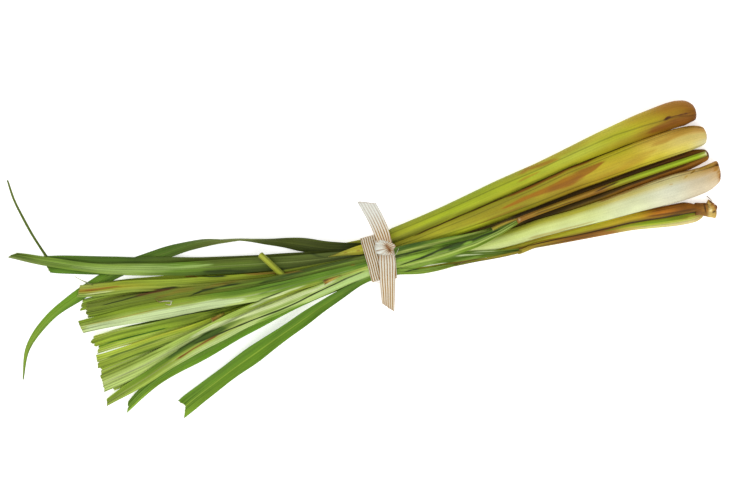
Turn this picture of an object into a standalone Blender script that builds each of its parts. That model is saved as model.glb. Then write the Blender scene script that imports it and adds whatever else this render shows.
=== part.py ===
"""A tied bunch of cut lemongrass, lying on a table.

Five leafy stalks lie side by side with their thick pale bases at +X. Their leaf blades run
through a ribbon tie and fan out to cut ends at -X. Everything is laid in order: each stalk
settles against the round stalks beside it, and each blade settles on what was laid before it.
Lengths are in millimetres until the meshes are made. The plan frame has the tie at x = 0.
"""

import math

import bpy
import numpy as np

MM = 0.001
PLAN_CENTRE = (-13.41, 26.80)  # middle of the bunch in plan, which becomes the origin

GAP = 0.35  # clearance left between neighbouring pieces
BED = 1.8  # the ribbon passes under the stalks and lifts them this much at the tie
BED_REACH = 55.0  # how far along the stalks that lift fades out
NUDGE = 2.0  # a stem gives this much sideways before it climbs onto its neighbour
FOOT = 0.3  # how deep a stalk's round underside is flattened where it lies on the table
BLADE = 0.7  # blade thickness
CELL = 0.4  # grid step of the height map
MAP_LOW, MAP_HIGH = (-300.0, -100.0), (270.0, 150.0)

STALK_SIDES = 14
STALK_STEP = 9.0  # distance between a stalk's rings
NOSE_RINGS = (1.0, 3.0, 6.0)  # further rings this far from a stalk's base end
SHEATH_LIP = 0.05  # the outer sheath's overlapping edge stands out this share of the radius

MATERIALS = {
    "olive_sheath": ((0.42, 0.40, 0.07), 0.45),
    "golden_sheath": ((0.55, 0.42, 0.09), 0.45),
    "brown_sheath": ((0.17, 0.10, 0.03), 0.55),
    "pale_sheath": ((0.66, 0.66, 0.42), 0.40),
    "dark_blade": ((0.09, 0.19, 0.03), 0.45),
    "green_blade": ((0.17, 0.33, 0.05), 0.45),
    "yellow_blade": ((0.38, 0.45, 0.08), 0.45),
    "ribbon_weave": ((0.72, 0.58, 0.42), 0.85),
}

# Each stalk: its centre line in plan, its radius against x, how its base narrows over the last
# stretch (length, share), and the corner its sheath's edge lies on, counted round from the table.
STALKS = {
    "stalk_golden": {
        "material": "golden_sheath",
        "route": [(238.5, 17.4), (216, 19.8), (190, 18.8), (139, 14.4), (85, 8.0), (42, 4.2), (0, 1.0), (-20, 5.0), (-42, 8.8)],
        "radius": [(-42, 1.2), (-14, 3.2), (0, 4.2), (42, 5.2), (85, 7.0), (139, 8.2), (200, 8.9), (240, 8.4)],
        "nose": (10, 0.55),
        "cap": 1.6,
        "lip": 8,
    },
    "stalk_pale": {
        "material": "pale_sheath",
        "route": [(243, -9.4), (225, -10.2), (181, -11.6), (131, -12.4), (94, -12.2), (60, -11.2), (0, -7.4), (-38, -4.4)],
        "radius": [(-38, 1.2), (-14, 3.0), (0, 3.8), (60, 5.6), (109, 6.4), (154, 7.6), (195, 9.5), (215, 9.8), (229, 9.0), (243, 7.9)],
        "nose": (7, 0.84),
        "lip": 5,
    },
    "stalk_olive": {
        "material": "olive_sheath",
        "route": [(236, 38.4), (220, 39.6), (196, 38.0), (144, 30.4), (89, 22.2), (46, 15.6), (0, 10.6), (-34, 15.2)],
        "radius": [(-34, 1.3), (-14, 3.6), (0, 4.7), (46, 5.6), (89, 6.2), (144, 6.8), (175, 8.2), (212, 9.4), (236, 8.9)],
        "nose": (12, 0.55),
        "cap": 1.8,
        "lip": 12,
    },
    "stalk_rooted": {
        "material": "golden_sheath",
        "route": [(233.5, -32.0), (226, -31.2), (212, -27.2), (164, -23.4), (128, -21.5), (60, -18.2), (0, -13.6), (-32, -11.5)],
        "radius": [(-32, 1.1), (0, 1.9), (60, 2.2), (106, 2.4), (128, 2.8), (163, 3.9), (190, 5.0), (210, 5.6), (221, 3.9), (227, 5.2), (233.5, 3.6)],
        "nose": (4, 0.6),
        "lip": 6,
    },
    "stalk_brown": {
        "material": "brown_sheath",
        "route": [(236, 4.4), (201, 3.7), (158, 1.5), (113, -1.0), (60, -3.0), (0, -3.6), (-30, 0.5)],
        "radius": [(-30, 1.0), (0, 1.6), (60, 1.8), (90, 2.1), (113, 2.9), (158, 4.2), (200, 4.7), (236, 4.3)],
        "nose": (3, 0.80),
        "lip": 6,
    },
}

# Each leaf runs from its start to its cut end. half is the half width and rise how far the
# edges stand above the midrib (a negative rise is a ridge), both against the share of the
# length. tilt leans the whole section, roll turns it over, in degrees. cut moves the left
# edge, midrib and right edge of the far end along the blade. A leaf with a collar starts as a
# round stem of sheath, half its radius, which opens into the blade at that share of the length.
LEAVES = {
    "leaf_long_curl": {
        "material": "dark_blade",
        "route": [(-8, 8.6), (-22, 11.4), (-37, 15.6), (-55, 23.2), (-70, 29.6), (-97, 39.4), (-123, 44.4), (-152, 44.2), (-188, 41.2),
                  (-215, 32.6), (-240, 22.6), (-260, 6.6), (-270, -13)],
        "half": [(0, 1.5), (0.08, 4.0), (0.2, 5.0), (0.42, 3.9), (0.75, 3.8), (0.88, 2.6), (1, 0.5)],
        "rise": [(0, 0.4), (0.3, 0.5), (1, 0.2)],
        "roll": [(0, 0), (0.16, 12), (0.26, 60), (0.33, 88), (0.40, 125), (0.52, 180), (1, 180)],
        "step": 8.5,
        "cut": (0, 2, 0),
    },
    "leaf_back_dark": {
        "material": "dark_blade",
        "route": [(-5, 5.2), (-24, 7.0), (-56, 13.0), (-94, 21.2), (-140, 33.0), (-196, 48.4), (-229, 59.0)],
        "half": [(0, 1.5), (0.05, 1.6), (0.1, 2.4), (0.3, 4.4), (0.8, 6.0), (1, 6.2)],
        "rise": [(0, 0.3), (0.4, 0.6), (1, 0.5)],
        "cut": (-4, 0, 1),
        "strand": [(-230.5, 62), (-232.5, 72), (-236, 88), (-239.5, 106), (-241.5, 123)],
    },
    "leaf_yellow_top": {
        "material": "yellow_blade",
        "route": [(-4, 5.0), (-34, 6.8), (-75, 10.6), (-113, 17.0), (-150, 25.4), (-178, 31.6), (-207, 38.0)],
        "half": [(0, 1.5), (0.05, 1.6), (0.14, 2.2), (0.5, 3.7), (0.85, 2.6), (1, 1.4)],
        "rise": [(0, 0.3), (0.5, 0.7), (1, 0.4)],
        "cut": (0, 2, 0),
    },
    "leaf_long_light": {
        "material": "green_blade",
        "route": [(-3, 5.2), (-20, 6.2), (-46, 9.6), (-94, 19.4), (-142, 30.5), (-171, 38.4), (-196, 46.4), (-233, 62.3), (-251, 71)],
        "half": [(0, 1.5), (0.05, 1.6), (0.1, 2.6), (0.2, 4.2), (0.4, 4.9), (0.62, 4.0), (0.8, 3.2), (1, 3.0)],
        "rise": [(0, 0.3), (0.3, 0.9), (0.7, 0.7), (1, 0.5)],
        "cut": (4, 0, -5),
    },
    "leaf_dark_fan": {
        "material": "dark_blade",
        "route": [(-4, 0.8), (-30, 2.0), (-80, 5.0), (-120, 11.0), (-148, 17.0), (-186, 24.0), (-214, 26.8)],
        "half": [(0, 1.5), (0.05, 1.6), (0.14, 2.0), (0.6, 3.8), (1, 3.6)],
        "rise": [(0, 0.3), (0.5, 0.6), (1, 0.5)],
        "cut": (2, 0, -2),
    },
    "leaf_rust_edge": {
        "material": "yellow_blade",
        "route": [(-2, 0.8), (-30, 2.6), (-80, 7.4), (-120, 14.6), (-153, 22.2), (-184, 29.6), (-216, 34.2)],
        "half": [(0, 1.5), (0.05, 1.6), (0.14, 2.0), (0.6, 3.6), (1, 3.9)],
        "rise": [(0, 0.3), (0.5, 0.7), (1, 0.9)],
        "cut": (0, -1, -3),
    },
    "leaf_narrow_fan": {
        "material": "yellow_blade",
        "route": [(-2, -3.6), (-30, -4.0), (-90, -7.4), (-138, -10.0), (-160, -9.0), (-190, -8.0), (-214, -7.4)],
        "half": [(0, 1.5), (0.05, 1.6), (0.14, 2.0), (0.6, 3.2), (1, 3.2)],
        "rise": [(0, 0.3), (0.5, 0.6), (1, 0.6)],
        "cut": (1, 0, -2),
    },
    "leaf_split_fan": {
        "material": "yellow_blade",
        "route": [(-4, -3.6), (-30, -3.6), (-60, -4.0), (-100, -4.6), (-137, -4.6), (-170, -2.4), (-189, -1.8), (-216, -0.2)],
        "half": [(0, 1.5), (0.05, 1.6), (0.14, 2.0), (0.6, 3.8), (1, 3.8)],
        "rise": [(0, 0.3), (0.5, 0.8), (1, 0.8)],
        "cut": (-2, 2, 0),
    },
    "leaf_low_fan": {
        "material": "yellow_blade",
        "route": [(-5, -7.6), (-30, -8.0), (-95, -12.0), (-140, -17.0), (-175, -19.3), (-194, -21.0), (-215, -21.2)],
        "half": [(0, 1.5), (0.05, 1.6), (0.14, 2.0), (0.6, 3.7), (1, 3.4)],
        "rise": [(0, 0.3), (0.5, 0.7), (1, 0.6)],
        "cut": (1, 0, -1),
    },
    "leaf_mid_fan": {
        "material": "green_blade",
        "route": [(-3, -7.6), (-30, -7.6), (-100, -10.2), (-150, -14.2), (-174, -14.2), (-192, -14.6), (-216, -16.0)],
        "half": [(0, 1.5), (0.05, 1.6), (0.14, 2.0), (0.6, 3.7), (1, 3.6)],
        "rise": [(0, 0.3), (0.5, 0.7), (1, 0.6)],
        "cut": (1, 0, -1),
    },
    "leaf_short_fan": {
        "material": "yellow_blade",
        "route": [(-6, -11.2), (-30, -11.2), (-90, -15.4), (-141, -22.8), (-188, -32.4), (-210, -38.0)],
        "half": [(0, 1.4), (0.05, 1.5), (0.14, 1.9), (0.3, 2.5), (1, 2.3)],
        "rise": [(0, 0.3), (1, 0.5)],
        "cut": (0, 0, -1),
    },
    "leaf_bright_fan": {
        "material": "green_blade",
        "collar": 0.33,
        "route": [(221, -35.0), (206, -35.6), (190, -33.0), (163, -29.0), (128, -26.0), (106, -24.0), (91, -22.6), (75, -19.8), (57, -16.8),
                  (35, -14.0), (4, -11.2), (-17, -10.6), (-67, -14.4), (-106, -22.6), (-145, -32.0), (-162, -35.8), (-180, -41.0),
                  (-193, -46.6), (-203, -52.2)],
        "half": [(0, 1.1), (0.04, 2.4), (0.15, 2.0), (0.3, 1.4), (0.33, 1.5), (0.38, 2.4), (0.44, 2.2), (0.49, 1.5), (0.53, 1.5), (0.60, 3.2), (0.88, 3.6), (0.93, 3.0), (1, 3.2)],
        "rise": [(0.33, 0.2), (0.44, 0.7), (0.5, 0.3), (0.6, 0.7), (0.9, 0.8), (1, 0.6)],
        "step": 10,
        "cut": (4.5, 1, -2),
    },
    "leaf_pale_fan": {
        "material": "yellow_blade",
        "route": [(-4, -6.4), (-30, -6.2), (-64, -8.2), (-102, -11.6), (-140, -18.6), (-164, -23.4), (-183, -27.4), (-215, -31.6)],
        "half": [(0, 1.5), (0.05, 1.6), (0.14, 2.2), (0.6, 4.3), (1, 5.2)],
        "rise": [(0, 0.3), (0.5, 0.8), (1, 0.8)],
        "cut": (-1, 1, 1),
    },
    "leaf_lone_fan": {
        "material": "green_blade",
        "route": [(54, -21.0), (38, -20.0), (22, -18.4), (4, -15.4), (-14, -13.6), (-38, -18.0), (-88, -34.6), (-127, -48.4), (-168, -63.8)],
        "half": [(0, 0.8), (0.08, 1.8), (0.18, 1.6), (0.3, 1.5), (0.42, 3.2), (0.6, 4.6), (1, 5.1)],
        "rise": [(0, 0.2), (0.3, 0.3), (0.42, 0.8), (1, 1.5)],
        "step": 10,
        "cut": (2.5, -3, -1.5),
    },
    "leaf_olive_fan": {
        "material": "dark_blade",
        "route": [(98, 1.0), (86, -1.0), (72, -2.4), (58, -3.2), (40, -2.4), (22, -0.8), (5, 0.6), (-16, 1.2), (-50, 2.5),
                  (-78, 3.6), (-110, 7.2), (-142, 12.4), (-182, 17.4), (-213, 18.6)],
        "half": [(0, 0.8), (0.05, 1.3), (0.12, 3.2), (0.18, 3.4), (0.27, 1.7), (0.37, 1.6), (0.5, 3.6), (0.85, 4.0), (1, 3.6)],
        "rise": [(0, 0.3), (0.12, 1.0), (0.27, 0.4), (0.36, 0.4), (0.55, 0.7), (1, 0.7)],
        "step": 10,
        "cut": (0, 1, -2),
    },
    "leaf_folded_fan": {
        "material": "green_blade",
        "route": [(66, -8.2), (44, -6.6), (22, -5.0), (6, -3.8), (-16, -3.4), (-50, -3.0), (-100, -0.6), (-134, 3.6), (-166, 6.8), (-201, 9.6), (-220, 11.0)],
        "half": [(0, 0.8), (0.08, 2.0), (0.2, 1.5), (0.3, 1.5), (0.45, 4.0), (0.75, 6.0), (0.9, 5.4), (1, 4.7)],
        "rise": [(0, 0.3), (0.3, 0.4), (0.7, 1.8), (1, 1.6)],
        "step": 10,
        "cut": (-1, 0, 1),
    },
    "leaf_collared_fan": {
        "material": "green_blade",
        "collar": 0.31,
        "route": [(233, 5.6), (186, 4.2), (158, 2.6), (128, 0.9), (97, -2.0), (79, -6.0), (64, -8.8), (40, -9.6), (5, -7.8), (-15, -8.0), (-46, -10.4),
                  (-66, -12.4), (-120, -20.4), (-142, -24.6), (-166, -30.6), (-184, -36.2), (-200, -40.6), (-217, -46.0)],
        "half": [(0, 2.1), (0.25, 1.8), (0.31, 1.8), (0.36, 3.0), (0.44, 3.2), (0.48, 1.6), (0.54, 1.6), (0.62, 3.2), (0.85, 4.1), (0.95, 3.4), (1, 2.7)],
        "rise": [(0.32, 0.4), (0.40, 1.1), (0.48, 0.4), (0.54, 0.4), (0.8, 1.1), (1, 0.8)],
        "step": 10,
        "cut": (1.5, 0, -1.5),
    },
}

STUB = {"material": "yellow_blade", "route": [(-84, 24.4), (-81, 19.4), (-73, 6.2)], "radius": 1.8}

RIBBON = {
    "material": "ribbon_weave",
    "width": 11.6,
    "thick": 0.6,
    "turns": [(-8.6, 1.5, 0.35), (1.4, -1.0, 0.68)],  # middle x, slant along the turn, clearance
    "sides": 28,
    "knot_at": (1.6, 4.4),
    "knot_half": (6.4, 5.4, 3.2),
    "tail_up": [(2.0, 4.4), (2.2, 12), (0.8, 25), (-2.2, 38.6)],
    "tail_up_rise": [(0, 1.8), (0.25, 3.6), (0.5, 3.4), (1, 0.5)],  # height over the knot's foot, by share of its length
    "tail_down": [(1.6, 4.4), (-1.0, -6), (-4.2, -19), (-6.4, -28), (-9.4, -36.4)],
}


# ---- curves and profiles ----


def hermite(knots, values, at):
    """Smooth values at the places asked for, through given values with matched slopes."""
    knots = np.asarray(knots, float)
    values = np.asarray(values, float)
    at = np.clip(at, knots[0], knots[-1])
    slopes = np.gradient(values, knots, axis=0)
    low = np.clip(np.searchsorted(knots, at, side="right") - 1, 0, len(knots) - 2)
    span = knots[low + 1] - knots[low]
    t = (at - knots[low]) / span
    if values.ndim > 1:
        span = span[:, None]
        t = t[:, None]
    return (
        (2 * t**3 - 3 * t**2 + 1) * values[low]
        + (t**3 - 2 * t**2 + t) * span * slopes[low]
        + (3 * t**2 - 2 * t**3) * values[low + 1]
        + (t**3 - t**2) * span * slopes[low + 1]
    )


def stations(points, step):
    """Evenly spaced points on one smooth curve through the route's own points."""
    points = np.asarray(points, float)
    chord = np.concatenate([[0], np.cumsum(np.linalg.norm(np.diff(points, axis=0), axis=1))])
    fine = hermite(chord, points, np.linspace(0, chord[-1], 600))
    length = np.concatenate([[0], np.cumsum(np.linalg.norm(np.diff(fine, axis=0), axis=1))])
    count = max(4, round(length[-1] / step) + 1)
    wanted = np.linspace(0, length[-1], count)
    return np.stack([np.interp(wanted, length, fine[:, k]) for k in range(fine.shape[1])], axis=1)


def left_of(plan):
    """Unit vectors in plan, square to the route and on its left when walking along it."""
    along = np.gradient(plan[:, :2], axis=0)
    along /= np.linalg.norm(along, axis=1)[:, None]
    return np.stack([-along[:, 1], along[:, 0]], axis=1)


def profile(knots, at):
    """Straight-line reading of (place, value) pairs."""
    knots = np.asarray(knots, float)
    return np.interp(at, knots[:, 0], knots[:, 1])


def bed_height(x):
    """How far the ribbon under the bunch lifts a stalk off the table, fading either side of the tie."""
    near = np.clip(1 - (np.abs(x + 3.5) - 14) / BED_REACH, 0, 1)
    return BED * near * near * (3 - 2 * near)


# ---- meshes ----


def tube(rings, pairs=()):
    """Points and faces of a tube through rings of points. pairs lists the ring edges whose squares split the other way."""
    count, sides = rings.shape[:2]
    faces = []
    for i in range(count - 1):
        for j in range(sides):
            k = (j + 1) % sides
            a, b = i * sides + j, i * sides + k
            c, d = a + sides, b + sides
            faces += [(a, b, c), (b, d, c)] if j in pairs else [(a, b, d), (a, d, c)]
    return rings.reshape(-1, 3), faces


def cap_blade(faces, rings):
    """Closes both ends of a six-point tube with squares that match its upper and lower faces."""
    last = (len(rings) - 1) * 6
    for a, b, c, d in ((0, 5, 4, 1), (1, 4, 3, 2)):
        faces += [(a, b, c), (a, c, d)]
        faces += [(last + a, last + d, last + c), (last + a, last + c, last + b)]


def finish(name, points, faces, material, smooth=True):
    """One named object from points in millimetres, its faces turned outwards."""
    points = np.array(points, float)
    points[:, :2] -= PLAN_CENTRE
    mesh = bpy.data.meshes.new(name)
    mesh.from_pydata((points * MM).tolist(), [], faces)
    mesh.validate()
    corners = points[np.array([f[:3] for f in faces])]
    if np.linalg.det(corners).sum() < 0:
        mesh.flip_normals()
    mesh.materials.append(bpy.data.materials[material])
    if smooth:
        mesh.shade_smooth()
        mesh.set_sharp_from_angle(angle=math.radians(40))
    obj = bpy.data.objects.new(name, mesh)
    bpy.context.scene.collection.objects.link(obj)
    return obj


def make_materials():
    for name, (colour, roughness) in MATERIALS.items():
        material = bpy.data.materials.new(name)
        material.use_nodes = True
        shader = material.node_tree.nodes["Principled BSDF"]
        shader.inputs["Base Color"].default_value = (*colour, 1)
        shader.inputs["Roughness"].default_value = roughness
        shader.inputs["Metallic"].default_value = 0.0
        material.diffuse_color = (*colour, 1)


# ---- laying the pieces ----


class Laid:
    """What lies on the table so far: a height map for blades, and round axes for stalks."""

    def __init__(self):
        size = [round((high - low) / CELL) + 1 for low, high in zip(MAP_LOW, MAP_HIGH)]
        self.height = np.full(size, -GAP)
        self.axes = []
        self.samples = []

    def cells(self, points):
        index = np.round((points[:, :2] - MAP_LOW) / CELL).astype(int)
        return np.clip(index[:, 0], 1, self.height.shape[0] - 2), np.clip(index[:, 1], 1, self.height.shape[1] - 2)

    def top(self, points):
        """Highest thing under each point."""
        return self.height[self.cells(points)]

    def add(self, points):
        """Raises the map to these surface points, and one cell round each."""
        i, j = self.cells(points)
        for di, dj in ((0, 0), (1, 0), (-1, 0), (0, 1), (0, -1)):
            np.maximum.at(self.height, (i + di, j + dj), points[:, 2])
        self.samples.append(points)


def outer_loop_rows(obj):
    """The two outer edge loops of a ribbon turn, in plan millimetres."""
    points = np.array([vertex.co[:] for vertex in obj.data.vertices]) / MM
    points[:, :2] += PLAN_CENTRE
    loops = points.reshape(4, -1, 3)[1:3]
    return np.concatenate([loops, loops[:, :1]], axis=1)


def fill_in(rows, step=0.45):
    """Points spread over the surface between neighbouring rows of points."""
    along = max(2, math.ceil(np.linalg.norm(np.diff(rows, axis=0), axis=2).max() / step))
    across = max(2, math.ceil(np.linalg.norm(np.diff(rows, axis=1), axis=2).max() / step))
    t = np.linspace(0, 1, along, endpoint=False)[None, :, None, None]
    dense = rows[:-1, None] * (1 - t) + rows[1:, None] * t
    dense = np.concatenate([dense.reshape(-1, *rows.shape[1:]), rows[-1:]])
    u = np.linspace(0, 1, across, endpoint=False)[None, None, :, None]
    wide = dense[:, :-1, None] * (1 - u) + dense[:, 1:, None] * u
    wide = np.concatenate([wide.reshape(len(dense), -1, 3), dense[:, -1:]], axis=1)
    return wide, np.linspace(0, len(rows) - 1, len(wide))


def along_axis(other, x):
    """A laid stem's y, z and radius at these x, with radius 0 beyond its ends."""
    axis_x, axis_y, axis_z, axis_r = (values[::-1] for values in other)
    held = (x > axis_x[0] - 2) & (x < axis_x[-1] + 2)
    return np.interp(x, axis_x, axis_y), np.interp(x, axis_x, axis_z), np.where(held, np.interp(x, axis_x, axis_r), 0)


def settle(laid, x, y, radius, depth=1.0):
    """Where a round stem comes to rest: nudged sideways to lie beside its neighbours, or else on top of them."""
    rest = radius * depth - FOOT + bed_height(x)
    for _ in range(4):
        for other in laid.axes:
            other_y, other_z, other_r = along_axis(other, x)
            reach = radius + other_r + GAP + 0.05
            apart = np.sqrt(np.maximum(reach**2 - (rest - other_z) ** 2, 0))
            short = apart - np.abs(y - other_y)
            nudged = (short > 0) & (short < NUDGE) & (other_r > 0)
            y = y + np.where(nudged, np.sign(y - other_y) * short, 0)
    height = rest
    for _ in range(4):
        for other in laid.axes:
            other_y, other_z, other_r = along_axis(other, x)
            reach = radius + other_r + GAP
            beside = np.abs(y - other_y)
            hits = (np.hypot(beside, height - other_z) < reach) & (other_r > 0)
            height = np.where(hits, other_z + np.sqrt(np.maximum(reach**2 - beside**2, 0)), height)
    return y, height


def slacken(need, sag, passes=500):
    """The lowest smooth line over the needed heights: a springy stem hangs a little between its supports."""
    z = need.copy()
    for _ in range(passes):
        z[1:-1] = np.maximum(need[1:-1], (z[:-2] + z[2:]) / 2 - sag)
        z[0] = max(need[0], 2 * z[1] - z[2] - sag)
        z[-1] = max(need[-1], min(z[-1], 2 * z[-2] - z[-3] + sag))
    return z


# ---- stalks ----


def lay_stalk(name, stalk, laid):
    """A stalk is a spiral section carried along its route: the outer sheath's free edge is the spiral's step."""
    turn = np.linspace(0, 1, STALK_SIDES + 1)
    angle = 2 * math.pi * (turn + (stalk["lip"] + 0.5) / STALK_SIDES - 0.25)
    swell = 1 - SHEATH_LIP * (1 - turn**3)
    plan = stations(stalk["route"], STALK_STEP)
    radius = hermite(*np.array(stalk["radius"], float).T, plan[:, 0])
    plan[:, 1], rest = settle(laid, plan[:, 0], plan[:, 1], radius, -(swell * np.sin(angle)).min())
    z = slacken(rest, 0.12)
    laid.axes.append((plan[:, 0], plan[:, 1], z, radius))
    place = np.arange(len(z)) * STALK_STEP
    wanted = np.sort(np.append(place, NOSE_RINGS))
    plan = np.stack([np.interp(wanted, place, plan[:, k]) for k in (0, 1)], axis=1)
    z = np.interp(wanted, place, z)
    length, narrow = stalk["nose"]
    radius = np.interp(wanted, place, radius) * (1 - (1 - narrow) * np.clip(1 - wanted / length, 0, 1) ** 2)
    side = left_of(plan)
    across = radius[:, None] * swell * np.cos(angle)
    up = radius[:, None] * swell * np.sin(angle)
    flat = plan[:, None, :] + across[:, :, None] * side[:, None, :]
    rings = np.concatenate([flat, np.maximum(z[:, None] + up, 0)[:, :, None]], axis=2)
    points, faces = tube(rings)
    sides = STALK_SIDES + 1
    ends = []
    for ring, inner in ((0, 1), (len(rings) - 1, len(rings) - 2)):
        outward = rings[ring].mean(axis=0) - rings[inner].mean(axis=0)
        ends.append(rings[ring].mean(axis=0) + outward / np.linalg.norm(outward) * stalk.get("cap", 1.0))
    base, tip = len(points), len(points) + 1
    last = (len(rings) - 1) * sides
    faces += [(base, (j + 1) % sides, j) for j in range(sides)]
    faces += [(tip, last + j, last + (j + 1) % sides) for j in range(sides)]
    laid.add(fill_in(rings)[0].reshape(-1, 3))
    return finish(name, np.vstack([points, ends]), faces, stalk["material"])


# ---- leaves ----


def blade_section(half, rise, tilt, roll, thick_edge, thick_mid):
    """Six points round a blade's section: left, midrib and right above, then right, midrib and left below."""
    v = np.array([1.0, 0.0, -1.0])
    a = half[:, None] * v
    h = rise[:, None] * np.abs(v) + tilt[:, None] * half[:, None] * v
    thick = np.stack([thick_edge, thick_mid, thick_edge], axis=1) / 2
    upper = np.stack([a, h + thick], axis=2)
    lower = np.stack([a, h - thick], axis=2)[:, ::-1]
    ring = np.concatenate([upper, lower], axis=1)
    c, s = np.cos(roll)[:, None], np.sin(roll)[:, None]
    return np.stack([ring[:, :, 0] * c - ring[:, :, 1] * s, ring[:, :, 0] * s + ring[:, :, 1] * c], axis=2)


def leaf_section(leaf, plan):
    """The leaf's section at each station, and the share of the length where its stem ends."""
    s = np.linspace(0, 1, len(plan))
    half = profile(leaf["half"], s)
    rise = profile(leaf["rise"], s)
    tilt = profile(leaf.get("tilt", [(0, 0), (1, 0)]), s)
    roll = np.radians(profile(leaf.get("roll", [(0, 0), (1, 0)]), s))
    slope = np.abs(rise / half) + np.abs(tilt)
    thick_edge = BLADE * np.sqrt(1 + slope**2)
    thick_mid = thick_edge.copy()
    collar = leaf.get("collar", 0)
    if collar:
        stem = s <= collar
        rise = np.where(stem, 0, rise)
        thick_mid = np.where(stem, 2 * half, thick_mid)
        thick_edge = np.where(stem, half, thick_edge)
    return blade_section(half, rise, tilt, roll, thick_edge, thick_mid), collar


def place_section(plan, side, section, z):
    across = section[:, :, 0]
    return np.concatenate(
        [plan[:, None, :2] + across[:, :, None] * side[:, None, :], (z[:, None] + section[:, :, 1])[:, :, None]], axis=2
    )


def needed_heights(laid, plan, side, section, rolled):
    """How high each station has to stand for the underside to clear what was laid before."""
    under = section[:, 3:6].copy()
    if rolled:
        reach = np.abs(section[:, :, 0]).max(axis=1)
        under[:, :, 0] = reach[:, None] * np.array([-1, 0, 1])
        under[:, :, 1] = section[:, :, 1].min(axis=1)[:, None]
    flat = place_section(plan, side, under, np.zeros(len(plan)))
    dense, where = fill_in(flat)
    need = laid.top(dense.reshape(-1, 3)).reshape(dense.shape[:2]) + GAP - dense[:, :, 2]
    need = need.max(axis=1)
    return np.array([need[np.abs(where - i) <= 1].max() for i in range(len(plan))])


def lay_leaf(name, leaf, laid):
    plan = stations(leaf["route"], leaf.get("step", 11))
    section, collar = leaf_section(leaf, plan)
    if collar:
        stem = np.linspace(0, 1, len(plan)) <= collar
        radius = np.abs(section[stem, :, 0]).max(axis=1)
        plan[stem, 1], rest = settle(laid, plan[stem, 0], plan[stem, 1], radius)
    side = left_of(plan)
    need = needed_heights(laid, plan, side, section, "roll" in leaf)
    if collar:
        need[stem] = rest + 0.1
    z = slacken(need, leaf.get("sag", 0.10))
    rings = place_section(plan, side, section, z)
    along = np.stack([side[-1, 1], -side[-1, 0], 0])
    shift = np.array(leaf["cut"])[[0, 1, 2, 2, 1, 0]]
    rings[-1] += shift[:, None] * along
    rings[:, :, 2] = np.maximum(rings[:, :, 2], 0)
    if "strand" in leaf:
        rings = np.concatenate([rings, strand_rings(leaf["strand"], rings[-1], laid)])
    points, faces = tube(rings, pairs=(3, 4))
    cap_blade(faces, rings)
    laid.add(fill_in(rings)[0].reshape(-1, 3))
    if collar:
        laid.axes.append((plan[stem, 0], plan[stem, 1], z[stem], np.abs(section[stem, :, 0]).max(axis=1)))
    return finish(name, points, faces, leaf["material"])


def strand_rings(route, end, laid):
    """The torn midrib that curls on past the cut end as a stiff thin strand, 1.5 mm across."""
    plan = stations(route, 6)[1:]
    side = left_of(plan)
    count = len(plan)
    half = np.linspace(0.9, 0.55, count)
    section = blade_section(half, np.zeros(count), np.zeros(count), np.zeros(count), half, 2 * half)
    rest = needed_heights(laid, plan, side, section, False)
    start = end[:, 2].mean()
    lift = np.maximum(rest, start + 2.5 * np.sin(np.linspace(0, math.pi, count)) * np.linspace(1, 0.3, count))
    lift = np.maximum(rest, lift - (start - rest[-1]) * np.linspace(0, 1, count) ** 2)
    return place_section(plan, side, section, lift)


def lay_stub(laid):
    """A short cut end of thin stem that lies across the blades."""
    plan = stations(STUB["route"], 6)
    count = len(plan)
    side = left_of(plan)
    radius = np.full(count, STUB["radius"])
    flat = np.zeros(count)
    section = blade_section(radius, flat, flat, flat, radius, 2 * radius)
    need = needed_heights(laid, plan, side, section, False)
    rings = place_section(plan, side, section, slacken(need, 0))
    points, faces = tube(rings)
    cap_blade(faces, rings)
    laid.add(fill_in(rings[:, :3])[0].reshape(-1, 3))
    return finish("cut_stub", points, faces, STUB["material"])


# ---- ribbon ----


def snug_loop(laid, middle, clearance, sides):
    """A convex loop in y and z round everything that passes the tie: lines that touch it, moved out by the clearance."""
    points = np.vstack(laid.samples)
    near = points[np.abs(points[:, 0] - middle) < RIBBON["width"] / 2 + 2.5][:, 1:]
    angle = np.linspace(0, 2 * math.pi, sides, endpoint=False)
    normal = np.stack([np.cos(angle), np.sin(angle)], axis=1)
    reach = (near @ normal.T).max(axis=0) + clearance
    corners = []
    for k in range(sides):
        pair = [k, (k + 1) % sides]
        corners.append(np.linalg.solve(normal[pair], reach[pair]))
    return np.array(corners)


def ribbon_turn(laid, turn, name):
    """One turn of ribbon: the snug loop, and the same loop moved out by the ribbon's thickness."""
    middle, slant, clearance = turn
    inner = snug_loop(laid, middle, clearance, RIBBON["sides"])
    outer = snug_loop(laid, middle, clearance + RIBBON["thick"], RIBBON["sides"])
    half = RIBBON["width"] / 2
    lean = slant * (inner[:, 1] - inner[:, 1].mean()) / 10 + slant * inner[:, 0] / 12
    rows = []
    for loop, x in ((inner, -half), (outer, -half), (outer, half), (inner, half)):
        rows.append(np.column_stack([middle + lean + x, loop]))
    sides = RIBBON["sides"]
    faces = []
    for r in range(4):
        for k in range(sides):
            a, b = r * sides + k, r * sides + (k + 1) % sides
            c, d = (r + 1) % 4 * sides + k, (r + 1) % 4 * sides + (k + 1) % sides
            faces += [(a, b, d), (a, d, c)]
    return finish(name, np.vstack(rows), faces, RIBBON["material"])


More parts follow.
